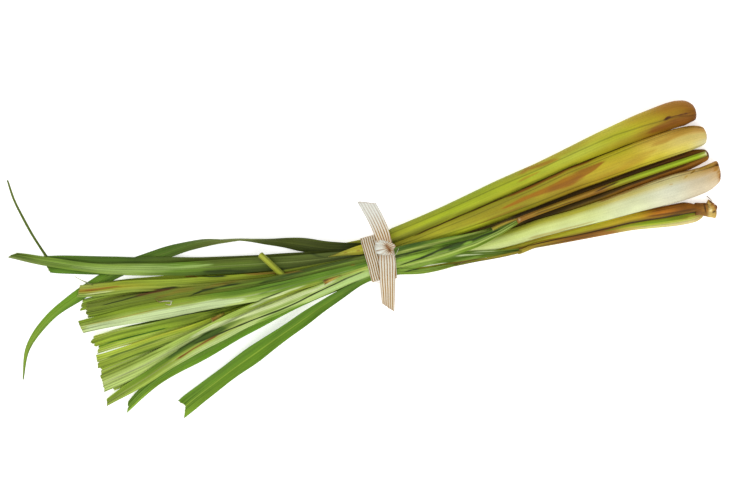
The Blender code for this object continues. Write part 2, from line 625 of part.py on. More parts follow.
def ribbon_tail(name, route, foot, laid, rises=None):
    """A flat free end of ribbon, cut on the slant: held up from the knot, or hanging down over the bunch."""
    line = stations(route, 4.0)
    side = left_of(line)
    count = len(line)
    share = np.linspace(0, 1, count)
    half = RIBBON["width"] / 2 * np.interp(share, [0, 0.3, 1], [0.62, 0.92, 1])
    thick = np.full(count, RIBBON["thick"])
    if rises:
        z = foot + profile(rises, share)
    else:
        flat = np.zeros(count)
        section = blade_section(half, flat, flat, flat, thick, thick)
        need = needed_heights(laid, line, side, section, False)
        need[:2] = np.maximum(need[:2], foot + 1.5)
        z = slacken(need, 0.35)
    up = np.gradient(z) / np.linalg.norm(np.gradient(line, axis=0), axis=1)
    lean = np.sqrt(1 + up**2)
    along = np.stack([side[:, 1], -side[:, 0]], axis=1)
    rows = []
    for edge, over in ((1, 1), (-1, 1), (-1, -1), (1, -1)):
        flat = line + edge * half[:, None] * side - over * (thick / 2 * up / lean)[:, None] * along
        rows.append(np.column_stack([flat, z + over * thick / 2 / lean]))
    rings = np.stack(rows, axis=1)
    rings[-1, [0, 3], :2] += 3.0 * along[-1]
    rings[-1, [1, 2], :2] -= 2.0 * along[-1]
    points, faces = tube(rings, pairs=(2,))
    last = (count - 1) * 4
    faces += [(0, 3, 2), (0, 2, 1), (last, last + 1, last + 2), (last, last + 2, last + 3)]
    return finish(name, points, faces, RIBBON["material"])


def ribbon_knot(name, foot):
    """The knot: a rounded cushion shape, |x|^2.6 + |y|^2.6 + |z|^2.6 = 1 stretched to size, with a folded corner at +x."""
    rows, around = 8, 14
    polar = np.linspace(0, math.pi, rows + 1)[1:-1]
    angle = np.linspace(0, 2 * math.pi, around, endpoint=False)
    power = 2 / 2.6

    def bent(value):
        return np.sign(value) * np.abs(value) ** power

    ring_size = bent(np.sin(polar))[:, None]
    x = ring_size * bent(np.cos(angle))
    y = ring_size * bent(np.sin(angle))
    z = np.repeat(bent(np.cos(polar))[:, None], around, axis=1)
    a, b, c = RIBBON["knot_half"]
    corner = 1 + 0.28 * np.clip(np.cos(angle - 0.5), 0, 1) ** 8
    points = np.stack([x * a * corner, y * b, z * c], axis=2).reshape(-1, 3)
    points = np.vstack([points, [(0, 0, c), (0, 0, -c)]])
    points += [*RIBBON["knot_at"], foot + c * 0.72]
    faces = []
    for i in range(rows - 2):
        for j in range(around):
            k = (j + 1) % around
            p, q = i * around + j, i * around + k
            faces += [(p, q, q + around), (p, q + around, p + around)]
    top, bottom = len(points) - 2, len(points) - 1
    last = (rows - 2) * around
    faces += [(top, (j + 1) % around, j) for j in range(around)]
    faces += [(bottom, last + j, last + (j + 1) % around) for j in range(around)]
    return finish(name, points, faces, RIBBON["material"])


def join(target, others, solver="MANIFOLD"):
    """Fuses the other objects into the target and removes them."""
    group = bpy.data.collections.new("to_join")
    bpy.context.scene.collection.children.link(group)
    for other in others:
        group.objects.link(other)
    union = target.modifiers.new("union", "BOOLEAN")
    union.operation = "UNION"
    union.operand_type = "COLLECTION"
    union.collection = group
    union.solver = solver
    graph = bpy.context.evaluated_depsgraph_get()
    joined = bpy.data.meshes.new_from_object(target.evaluated_get(graph))
    target.modifiers.clear()
    target.data = joined
    for other in others:
        bpy.data.objects.remove(other)
    bpy.data.collections.remove(group)


def tie_ribbon(laid):
    turns = [ribbon_turn(laid, turn, f"turn_{k}") for k, turn in enumerate(RIBBON["turns"])]
    low = np.array(RIBBON["knot_at"]) - RIBBON["knot_half"][:2]
    high = np.array(RIBBON["knot_at"]) + RIBBON["knot_half"][:2]
    points = np.vstack(laid.samples)
    beneath = points[np.all((points[:, :2] > low) & (points[:, :2] < high), axis=1)]
    foot = beneath[:, 2].max() + GAP + RIBBON["thick"] + 1.2
    knot = ribbon_knot("knot", foot)
    up = ribbon_tail("tail_up", RIBBON["tail_up"], foot, laid, RIBBON["tail_up_rise"])
    for turn in turns:
        laid.add(fill_in(outer_loop_rows(turn))[0].reshape(-1, 3))
    down = ribbon_tail("tail_down", RIBBON["tail_down"], foot, laid)
    turns[0].name = "ribbon_tie"
    join(turns[0], [turns[1], knot, up, down])
    return foot


def main():
    for obj in list(bpy.data.objects):
        bpy.data.objects.remove(obj)
    make_materials()
    laid = Laid()
    for name, stalk in STALKS.items():
        lay_stalk(name, stalk, laid)
    for name, leaf in LEAVES.items():
        if name == "leaf_olive_fan":
            lay_stub(laid)
        lay_leaf(name, leaf, laid)
    tie_ribbon(laid)


main()
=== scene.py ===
import math

import bpy
import numpy as np
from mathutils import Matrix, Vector
from mathutils.bvhtree import BVHTree


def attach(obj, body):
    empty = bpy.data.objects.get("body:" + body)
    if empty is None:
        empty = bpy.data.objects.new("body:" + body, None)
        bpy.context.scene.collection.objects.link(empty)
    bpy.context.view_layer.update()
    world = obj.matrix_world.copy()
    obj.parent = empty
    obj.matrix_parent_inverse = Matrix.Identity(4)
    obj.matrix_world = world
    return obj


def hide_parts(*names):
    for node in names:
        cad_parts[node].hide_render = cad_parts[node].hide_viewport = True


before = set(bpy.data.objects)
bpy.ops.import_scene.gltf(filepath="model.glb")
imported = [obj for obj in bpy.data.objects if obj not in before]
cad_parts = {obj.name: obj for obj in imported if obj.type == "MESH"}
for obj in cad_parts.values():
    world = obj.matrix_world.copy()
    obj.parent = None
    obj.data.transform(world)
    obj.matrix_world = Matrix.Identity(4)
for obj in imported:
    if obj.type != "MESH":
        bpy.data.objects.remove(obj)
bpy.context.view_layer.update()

mm = 0.001
curveCount = 900  # points on the smooth curve through a route, before it is evened out
planMiddle = np.array([-13.41, 26.80])  # the row's origin in the plan of the bunch; the tie is at 0, 0


# curves and grids, in millimetres


def throughKnots(knots, values, at):
    # smooth curve through the knots, with the slope at each taken from its neighbours
    knots, values = np.asarray(knots, float), np.asarray(values, float)
    at = np.clip(at, knots[0], knots[-1])
    slopes = np.gradient(values, knots, axis=0)
    low = np.clip(np.searchsorted(knots, at, side="right") - 1, 0, len(knots) - 2)
    span = knots[low + 1] - knots[low]
    t = (at - knots[low]) / span
    if values.ndim > 1:
        span, t = span[:, None], t[:, None]
    return (
        (2 * t**3 - 3 * t**2 + 1) * values[low]
        + (t**3 - 2 * t**2 + t) * span * slopes[low]
        + (3 * t**2 - 2 * t**3) * values[low + 1]
        + (t**3 - t**2) * span * slopes[low + 1]
    )


def walk(route, step):
    # evenly spaced points on the smooth curve through a route, and the distance walked to each
    route = np.asarray(route, float)
    chord = np.concatenate([[0], np.cumsum(np.linalg.norm(np.diff(route, axis=0), axis=1))])
    fine = throughKnots(chord, route, np.linspace(0, chord[-1], curveCount))
    length = np.concatenate([[0], np.cumsum(np.linalg.norm(np.diff(fine, axis=0), axis=1))])
    run = np.linspace(0, length[-1], max(4, round(length[-1] / step) + 1))
    return np.stack([np.interp(run, length, fine[:, k]) for k in range(fine.shape[1])], axis=1), run


def rightOf(plan):
    # unit vectors in plan, square to the route and on its right when walking along it
    along = np.gradient(plan[:, :2], axis=0)
    along /= np.linalg.norm(along, axis=1)[:, None]
    return np.stack([along[:, 1], -along[:, 0]], axis=1)


def readAt(pairs, at):
    pairs = np.asarray(pairs, float)
    return np.interp(at, pairs[:, 0], pairs[:, 1])


def soften(values, reach):
    # running mean along the first axis with a bell of this many cells, holding the end slopes
    values = np.asarray(values, float)
    margin = min(int(3 * reach), len(values) - 1)
    weights = np.exp(-0.5 * (np.arange(-margin, margin + 1) / reach) ** 2)
    weights /= weights.sum()
    pad = [(margin, margin)] + [(0, 0)] * (values.ndim - 1)
    padded = np.pad(values, pad, mode="reflect", reflect_type="odd")
    return sum(w * padded[k : k + len(values)] for k, w in enumerate(weights))


def wander(shape, reach, seed):
    # smooth random heights of about unit size on a line or grid; reach is the bell's cells each way
    field = np.random.default_rng(seed).standard_normal(shape)
    for axis, cells in enumerate(np.atleast_1d(reach)):
        if cells > 0:
            field = np.moveaxis(soften(np.moveaxis(field, axis, 0), cells), 0, axis)
    return field / (field.std() + 1e-9)


def ease(value):
    # 0 below 0, 1 above 1, and an S curve between
    value = np.clip(value, 0, 1)
    return value * value * (3 - 2 * value)


def densify(grid, step=0.42):
    # the same surface with rows and columns filled in until they are closer than the step
    for _ in range(2):
        gap = np.linalg.norm(np.diff(grid[..., :2], axis=0), axis=2).max()
        parts = max(1, math.ceil(gap / step))
        t = np.arange(parts)[None, :, None, None] / parts
        filled = grid[:-1, None] * (1 - t) + grid[1:, None] * t
        grid = np.concatenate([filled.reshape(-1, *grid.shape[1:]), grid[-1:]])
        grid = np.swapaxes(grid, 0, 1)
    return grid.reshape(-1, 3)


# reading the frame


class Solid:
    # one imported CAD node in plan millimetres; rays start from well above and below it
    above, below = 200.0, -50.0

    def __init__(self, node):
        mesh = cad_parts[node].data
        points = np.empty(len(mesh.vertices) * 3, np.float32)
        mesh.vertices.foreach_get("co", points)
        self.points = points.reshape(-1, 3).astype(float) / mm
        self.points[:, :2] += planMiddle
        edges = np.empty(len(mesh.edges) * 2, np.int32)
        mesh.edges.foreach_get("vertices", edges)
        self.edges = edges.reshape(-1, 2)
        faces = [face.vertices[:] for face in mesh.polygons]
        self.tree = BVHTree.FromPolygons([Vector(point) for point in self.points], faces)

    def surface(self, plan, down=True):
        # height of the highest (or lowest) face at each plan point, NaN where the node isn't
        start, way = (self.above, Vector((0, 0, -1))) if down else (self.below, Vector((0, 0, 1)))
        hits = [self.tree.ray_cast(Vector((x, y, start)), way)[0] for x, y in plan]
        return np.array([np.nan if hit is None else hit.z for hit in hits])

    def middle(self, plan):
        # height half way through the node at each plan point, read across where the ray misses
        level = (self.surface(plan) + self.surface(plan, False)) / 2
        seen = ~np.isnan(level)
        place = np.arange(len(level))
        return np.interp(place, place[seen], level[seen])

    def girdle(self, plan, reach=13.0):
        # sideways middle, half width and top of the node's section at each station
        side = rightOf(plan)
        found = []
        for point, across in zip(plan, side):
            flat = self.points[:, :2] - point
            ahead = flat @ np.array([-across[1], across[0]])
            first, last = ahead[self.edges[:, 0]], ahead[self.edges[:, 1]]
            crossing = first * last < 0
            first, last = first[crossing], last[crossing]
            ends = self.edges[crossing]
            t = (first / (first - last))[:, None]
            cut = self.points[ends[:, 0]] * (1 - t) + self.points[ends[:, 1]] * t
            lateral = (cut[:, :2] - point) @ across
            near = np.abs(lateral) < reach
            if near.sum() < 3:
                found.append((np.nan,) * 3)
                continue
            lateral, height = lateral[near], cut[near, 2]
            found.append(((lateral.max() + lateral.min()) / 2, np.ptp(lateral) / 2, height.max()))
        found = np.array(found)
        seen = ~np.isnan(found[:, 0])
        place = np.arange(len(found))
        return [np.interp(place, place[seen], column[seen]) for column in found.T]


class Pile:
    # what lies on the table so far, as a height map; points near the tie are kept as well, for the
    # ribbon to go round
    cell = 0.4
    corner = np.array([-300.0, -120.0])
    counts = (1450, 720)
    nearTie = 30.0

    def __init__(self):
        self.height = np.zeros(self.counts)
        self.samples = []

    def cells(self, x, y):
        i = np.round((x - self.corner[0]) / self.cell).astype(int)
        j = np.round((y - self.corner[1]) / self.cell).astype(int)
        return np.clip(i, 1, self.height.shape[0] - 2), np.clip(j, 1, self.height.shape[1] - 2)

    def under(self, x, y):
        return self.height[self.cells(x, y)]

    def cover(self, grid):
        points = densify(grid)
        i, j = self.cells(points[:, 0], points[:, 1])
        for di, dj in ((0, 0), (1, 0), (0, 1)):
            np.maximum.at(self.height, (i + di, j + dj), points[:, 2])
        self.samples.append(points[np.abs(points[:, 0]) < self.nearTie])


pile = Pile()


# shader maths


class Wire:
    # an output socket whose sums, differences and products add the Math nodes they need
    def __init__(self, finish, socket):
        self.finish, self.socket = finish, socket

    def maths(self, operation, first, second=0.0, clamp=False):
        settings = {"operation": operation, "use_clamp": clamp}
        return self.finish.node("ShaderNodeMath", settings, {0: first, 1: second})

    def __add__(self, other):
        return self.maths("ADD", self, other)

    def __sub__(self, other):
        return self.maths("SUBTRACT", self, other)

    def __rsub__(self, other):
        return self.maths("SUBTRACT", other, self)

    def __mul__(self, other):
        return self.maths("MULTIPLY", self, other)

    __radd__ = __add__
    __rmul__ = __mul__

    def size(self):
        return self.maths("ABSOLUTE", self)

    def sine(self):
        return self.maths("SINE", self)

    def between(self, low, high):
        # 0 at low, 1 at high, clamped
        return self.maths("MULTIPLY", self - low, 1 / (high - low), True)


class Finish:
    # one material, built node by node
    def __init__(self, name, roughness):
        self.material = bpy.data.materials.new(name)
        self.material.use_nodes = True
        self.tree = self.material.node_tree
        self.shader = self.tree.nodes["Principled BSDF"]
        self.shader.inputs["Roughness"].default_value = roughness

    def node(self, kind, settings=None, values=None, output=0):
        made = self.tree.nodes.new(kind)
        for name, value in (settings or {}).items():
            if name == "stops":
                self.setStops(made.color_ramp, value)
            else:
                setattr(made, name, value)
        for name, value in (values or {}).items():
            self.feed(made.inputs[name], value)
        return Wire(self, made.outputs[output])

    def feed(self, socket, value):
        if isinstance(value, Wire):
            self.tree.links.new(value.socket, socket)
        else:
            socket.default_value = value

    def setStops(self, ramp, stops):
        ramp.interpolation = "EASE"
        while len(ramp.elements) < len(stops):
            ramp.elements.new(0.5)
        for element, (place, tone) in zip(ramp.elements, stops):
            element.position = place
            element.color = tone

    def value(self, attribute):
        return self.node("ShaderNodeAttribute", {"attribute_name": attribute}, output=2)

    def vector(self, x, y, z):
        return self.node("ShaderNodeCombineXYZ", None, {0: x, 1: y, 2: z})

    def noise(self, vector, detail, rough=0.5):
        values = {"Vector": vector, "Scale": 1.0, "Detail": detail, "Roughness": rough}
        return self.node("ShaderNodeTexNoise", None, values)

    def ramp(self, factor, stops):
        stops = [(place, paint(tone)) for place, tone in stops]
        return self.node("ShaderNodeValToRGB", {"stops": stops}, {0: factor})

    def mix(self, factor, first, second, blend="MIX"):
        settings = {"data_type": "RGBA", "blend_type": blend, "clamp_factor": True}
        tones = [paint(tone) if isinstance(tone, tuple) else tone for tone in (first, second)]
        return self.node("ShaderNodeMix", settings, {0: factor, 6: tones[0], 7: tones[1]}, output=2)

    def shade(self, colour, factor, blue=0.80):
        # the colour made darker or lighter by a number that varies over the surface
        grey = self.node("ShaderNodeCombineColor", None, {0: factor, 1: factor, 2: factor * blue})
        return self.mix(1.0, colour, grey, "MULTIPLY")

    def bump(self, height, distance):
        values = {"Height": height, "Distance": distance}
        self.feed(self.shader.inputs["Normal"], self.node("ShaderNodeBump", None, values))


def paint(tone):
    # an sRGB colour of 0 to 255 as the linear colour that the nodes take
    share = np.asarray(tone, float) / 255
    linear = np.where(share <= 0.04045, share / 12.92, ((share + 0.055) / 1.055) ** 2.4)
    return (*linear.tolist(), 1.0)


plantFinish = {
    # noise fields: per mm across, per mm along, offset, detail, roughness; each shade says how much
    # its field darkens and lightens the colour, and each height how much it raises the surface
    "veins": (1.15, 0.016, 0.0, 3.0, 0.65),
    "streaks": (0.36, 0.009, 4.0, 2.5, 0.55),
    "threads": (0.62, 0.006, 7.0, 1.0, 0.5),
    "blotch": (0.16, 0.05, 9.0, 3.0, 0.5),
    "grain": (1.9, 0.9, 2.0, 2.0, 0.5),
    "veinShade": 0.50,
    "streakShade": 0.42,
    "threadShade": 0.30,
    "blotchShade": 0.22,
    "grainShade": 0.16,
    "creaseShade": 0.62,
    "threadEdge": (0.012, 0.05),
    "border": (0.16, 0.60),  # from the middle's colour to a side's, as shares of the half width
    "borderWave": 0.6,
    "ribFull": 0.35,  # the midrib's line is full within this share of its width
    "ribStrength": 0.6,
    "markBase": 0.72,  # painted marks are broken up by streaks and veins
    "markStreak": 0.56,
    "markVein": 0.7,
    "markEdge": (0.10, 0.80),
    "cut": (190, 190, 120),
    "cutRagged": 2.4,
    "cutEdge": (0.10, 0.75),
    "roughness": 0.56,
    "roughStreak": 0.25,
    "roughBlotch": 0.2,
    "specular": 0.16,
    "bump": 0.00022,
    "veinHeight": 0.9,
    "streakHeight": 0.9,
    "grainHeight": 0.12,
    "threadHeight": 0.25,
}


def makePlantFinish(name, tones, rib=0.0, streaky=1.0, lift=1.0):
    # low, mid and high are colour ramps along the piece for its two sides and its middle; veins,
    # streaks and thin threads are noise stretched along it; painted shade darkens its creases, sheath
    # edges and the rings of a cut end, and this shade, the painted marks and the cut end come from
    # attributes
    look = plantFinish
    finish = Finish(name, look["roughness"])
    finish.shader.inputs["Specular IOR Level"].default_value = look["specular"]
    across, share = finish.value("across"), finish.value("share")
    lateral, run = finish.value("lateral"), finish.value("run")
    fields = []
    for label in ("veins", "streaks", "threads", "blotch", "grain"):
        wide, long, offset, detail, rough = look[label]
        fields.append(finish.noise(finish.vector(lateral * wide, run * long, offset), detail, rough))
    veins, streaks, threads, blotch, grain = fields
    low, middle, high = (finish.ramp(share, tones[side]) for side in ("low", "mid", "high"))
    wavy = across + (streaks - 0.5) * look["borderWave"]
    near, far = look["border"]
    colour = finish.mix(wavy.between(-far, -near), low, middle)
    colour = finish.mix(wavy.between(near, far), colour, high)
    if rib:
        line = 1 - (across - tones.get("ribAt", 0.0)).size().between(rib * look["ribFull"], rib)
        colour = finish.mix(line * tones.get("ribStrength", look["ribStrength"]), colour, tones["rib"])
    cover = finish.value("cover")
    patchy = cover * (look["markBase"] + streaks * look["markStreak"])
    patchy = patchy + (veins - 0.5) * cover * look["markVein"]
    tint = finish.node("ShaderNodeAttribute", {"attribute_name": "tint"})
    colour = finish.mix(patchy.between(*look["markEdge"]), colour, tint)
    thread = 1 - (threads - 0.5).size().between(*look["threadEdge"])
    shading = (
        lift
        + (veins - 0.5) * (look["veinShade"] * 2 * streaky)
        + (streaks - 0.5) * (look["streakShade"] * 2 * streaky)
        + (blotch - 0.5) * look["blotchShade"] * 2
        + (grain - 0.5) * look["grainShade"] * 2
        - thread * (look["threadShade"] * streaky)
        - finish.value("crease") * look["creaseShade"]
    )
    colour = finish.shade(colour, shading)
    ragged = finish.value("fray") + (veins - 0.5) * look["cutRagged"]
    colour = finish.mix(1 - ragged.between(*look["cutEdge"]), colour, tones.get("cut", look["cut"]))
    finish.feed(finish.shader.inputs["Base Color"], colour)
    rough = look["roughness"] + (streaks - 0.5) * look["roughStreak"]
    rough = rough + (blotch - 0.5) * look["roughBlotch"]
    finish.feed(finish.shader.inputs["Roughness"], rough)
    height = veins * (look["veinHeight"] * streaky) + streaks * look["streakHeight"]
    height = height + grain * look["grainHeight"] - thread * look["threadHeight"]
    finish.bump(height, look["bump"])
    return finish.material


def ramps(places, low, mid, high, **others):
    # tones whose three colour ramps have their stops at the same places
    sides = {"low": low, "mid": mid, "high": high}
    return {**{side: list(zip(places, stops)) for side, stops in sides.items()}, **others}


markShape = {
    "cells": (3.0, 1.2),  # reach of the noise that breaks the edges
    "broken": 0.35,
    "softness": 1.5,
    "fade": 8.0,  # the ends fade over this length, or this share of the mark where that is less
    "fadeShare": 0.3,
    "endLevel": 0.12,
    "thinnest": 0.05,
    "beyond": 9.0,  # in half widths, where a mark has surely ended
}


def paintMarks(x, y, marks, seed, facing=1.0):
    # colour and cover of the painted marks at each point: each is a band about a line of
    # (x, y, half width) whose edge is broken by noise; later marks lie over earlier ones
    shape = markShape
    tint, cover = np.zeros(x.shape + (3,)), np.zeros(x.shape)
    broken = wander(x.shape, shape["cells"], seed)
    for tone, strength, soft, line in marks:
        soft = min(1.0, soft * shape["softness"])
        nearest, passed = np.full(x.shape, shape["beyond"]), np.zeros(x.shape)
        line, base = np.array(line, float), 0.0
        for start, end in zip(line[:-1], line[1:]):
            way = end[:2] - start[:2]
            t = np.clip(((x - start[0]) * way[0] + (y - start[1]) * way[1]) / (way @ way), 0, 1)
            gap = np.hypot(x - start[0] - t * way[0], y - start[1] - t * way[1])
            ratio = gap / np.maximum(start[2] + t * (end[2] - start[2]), shape["thinnest"])
            passed = np.where(ratio < nearest, base + t * math.hypot(*way), passed)
            nearest = np.minimum(nearest, ratio)
            base += math.hypot(*way)
        ending = min(shape["fade"], shape["fadeShare"] * base)
        fade = ease(np.minimum(passed, base - passed) / ending + shape["endLevel"])
        here = 1 - ease((nearest + shape["broken"] * soft * broken - 1 + soft) / (2 * soft))
        here = strength * facing * fade * here
        tint = tint * (1 - here[..., None]) + here[..., None] * np.array(paint(tone)[:3])
        cover = cover * (1 - here) + here
    return tint / np.maximum(cover, 1e-4)[..., None], cover


# meshes


def addPiece(name, points, faces, material, replaces=(), attributes=None):
    # one named object from plan millimetres, faces turned outwards, riding on the bunch
    points = np.array(points, float)
    points[:, :2] -= planMiddle
    mesh = bpy.data.meshes.new(name)
    mesh.from_pydata((points * mm).tolist(), [], faces.tolist() if hasattr(faces, "tolist") else faces)
    for label, values in (attributes or {}).items():
        if label == "tint":
            layer = mesh.attributes.new(label, "FLOAT_COLOR", "POINT")
            values = np.concatenate([values, np.ones((len(values), 1))], axis=1)
            layer.data.foreach_set("color", values.astype(np.float32).ravel())
            continue
        layer = mesh.attributes.new(label, "FLOAT", "POINT")
        layer.data.foreach_set("value", np.asarray(values, np.float32).ravel())
    mesh.update()
    mesh.calc_loop_triangles()
    corners = np.array([triangle.vertices[:] for triangle in mesh.loop_triangles])
    a, b, c = (points[corners[:, k]] for k in range(3))
    if np.einsum("ij,ij->i", a, np.cross(b, c)).sum() < 0:
        mesh.flip_normals()
    mesh.materials.append(material)
    mesh.polygons.foreach_set("use_smooth", np.ones(len(mesh.polygons), bool))
    piece = bpy.data.objects.new(name, mesh)
    bpy.context.scene.collection.objects.link(piece)
    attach(piece, "root")
    if replaces:
        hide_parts(*replaces)
    return piece


def ringFaces(rows, columns):
    # quads between neighbouring rows of a grid whose rows are closed rings
    i = np.arange(rows - 1)[:, None] * columns
    j = np.arange(columns)[None, :]
    k = (j + 1) % columns
    return np.stack([i + j, i + k, i + k + columns, i + j + columns], axis=2).reshape(-1, 4)


def shellFaces(rows, columns):
    # faces of a closed blade whose rings run along the upper side and back along the lower side
    ring = 2 * columns
    faces = ringFaces(rows, ring)
    k = np.arange(columns - 1)
    start = np.stack([k + 1, k, ring - 1 - k, ring - 2 - k], axis=1)
    end = start[:, ::-1] + (rows - 1) * ring
    return np.concatenate([faces, start, end])


# stalks

stalkShape = {
    "step": 1.3,
    "fineStep": 0.5,  # over the first fineReach from the base end
    "fineReach": 14.0,
    "columns": 97,
    "wide": 0.985,  # how far the solid's section falls short of the true circle
    "high": 0.98,
    "smooth": 3.5,  # softens what is read from the solid, at every evenStep
    "evenStep": 2.0,
    "full": 1.012,
    "lip": 0.035,  # the outer sheath's free edge stands out this share of the radius
    "spiral": 2.2,
    "lipShade": (0.7, 0.010),  # painted shade lines, here at the outer sheath's free edge and next at the inner sheath edges: strength and width, as a share of a turn
    "edgeShade": (0.8, 0.008),
    "edgeStep": 0.5,
    "edgeFade": 12,  # an inner edge's layer thins out as it comes round again
    "edgeWidth": 0.012,
    "edgeFoot": 0.2,
    "uneven": 0.010,
    "unevenCells": (16, 6),
    "wrinkle": 0.06,
    "wrinkleShare": 0.6,
    "wrinkleCells": (14, 1.4),
    "knobShare": 0.55,
    "knobCells": (2.0, 3.0),
    "flareOver": 0.02,
    "slantOver": 12,
    "troughHalf": 3,  # a trough starts at this half width, and is full at twice as much
    "facing": 2.5,  # how sharply marks end at the sides
    "endGap": 0.6,
    "capRings": 12,
    "capStart": 0.06,
    "capPower": 2.4,
    "layers": 4,  # of sheath, wound round each other, that show on a cut end
    "ringRelief": 0.22,
    "ringShade": 0.6,
    "easeIn": 14.0,  # over this length the sides go over from the dictionary's to the solid's
    "beyond": 25,  # the nose's sides are continued from those of the next stretch, this long
    "beyondEase": 6,
}

# the first colour here marks brown streaks and also paints shade along the lines where stalks touch
umberAndShade, rustBrown, amber, honey = (66, 42, 16), (136, 86, 26), (158, 116, 32), (186, 146, 62)
shadow = (62, 44, 16)

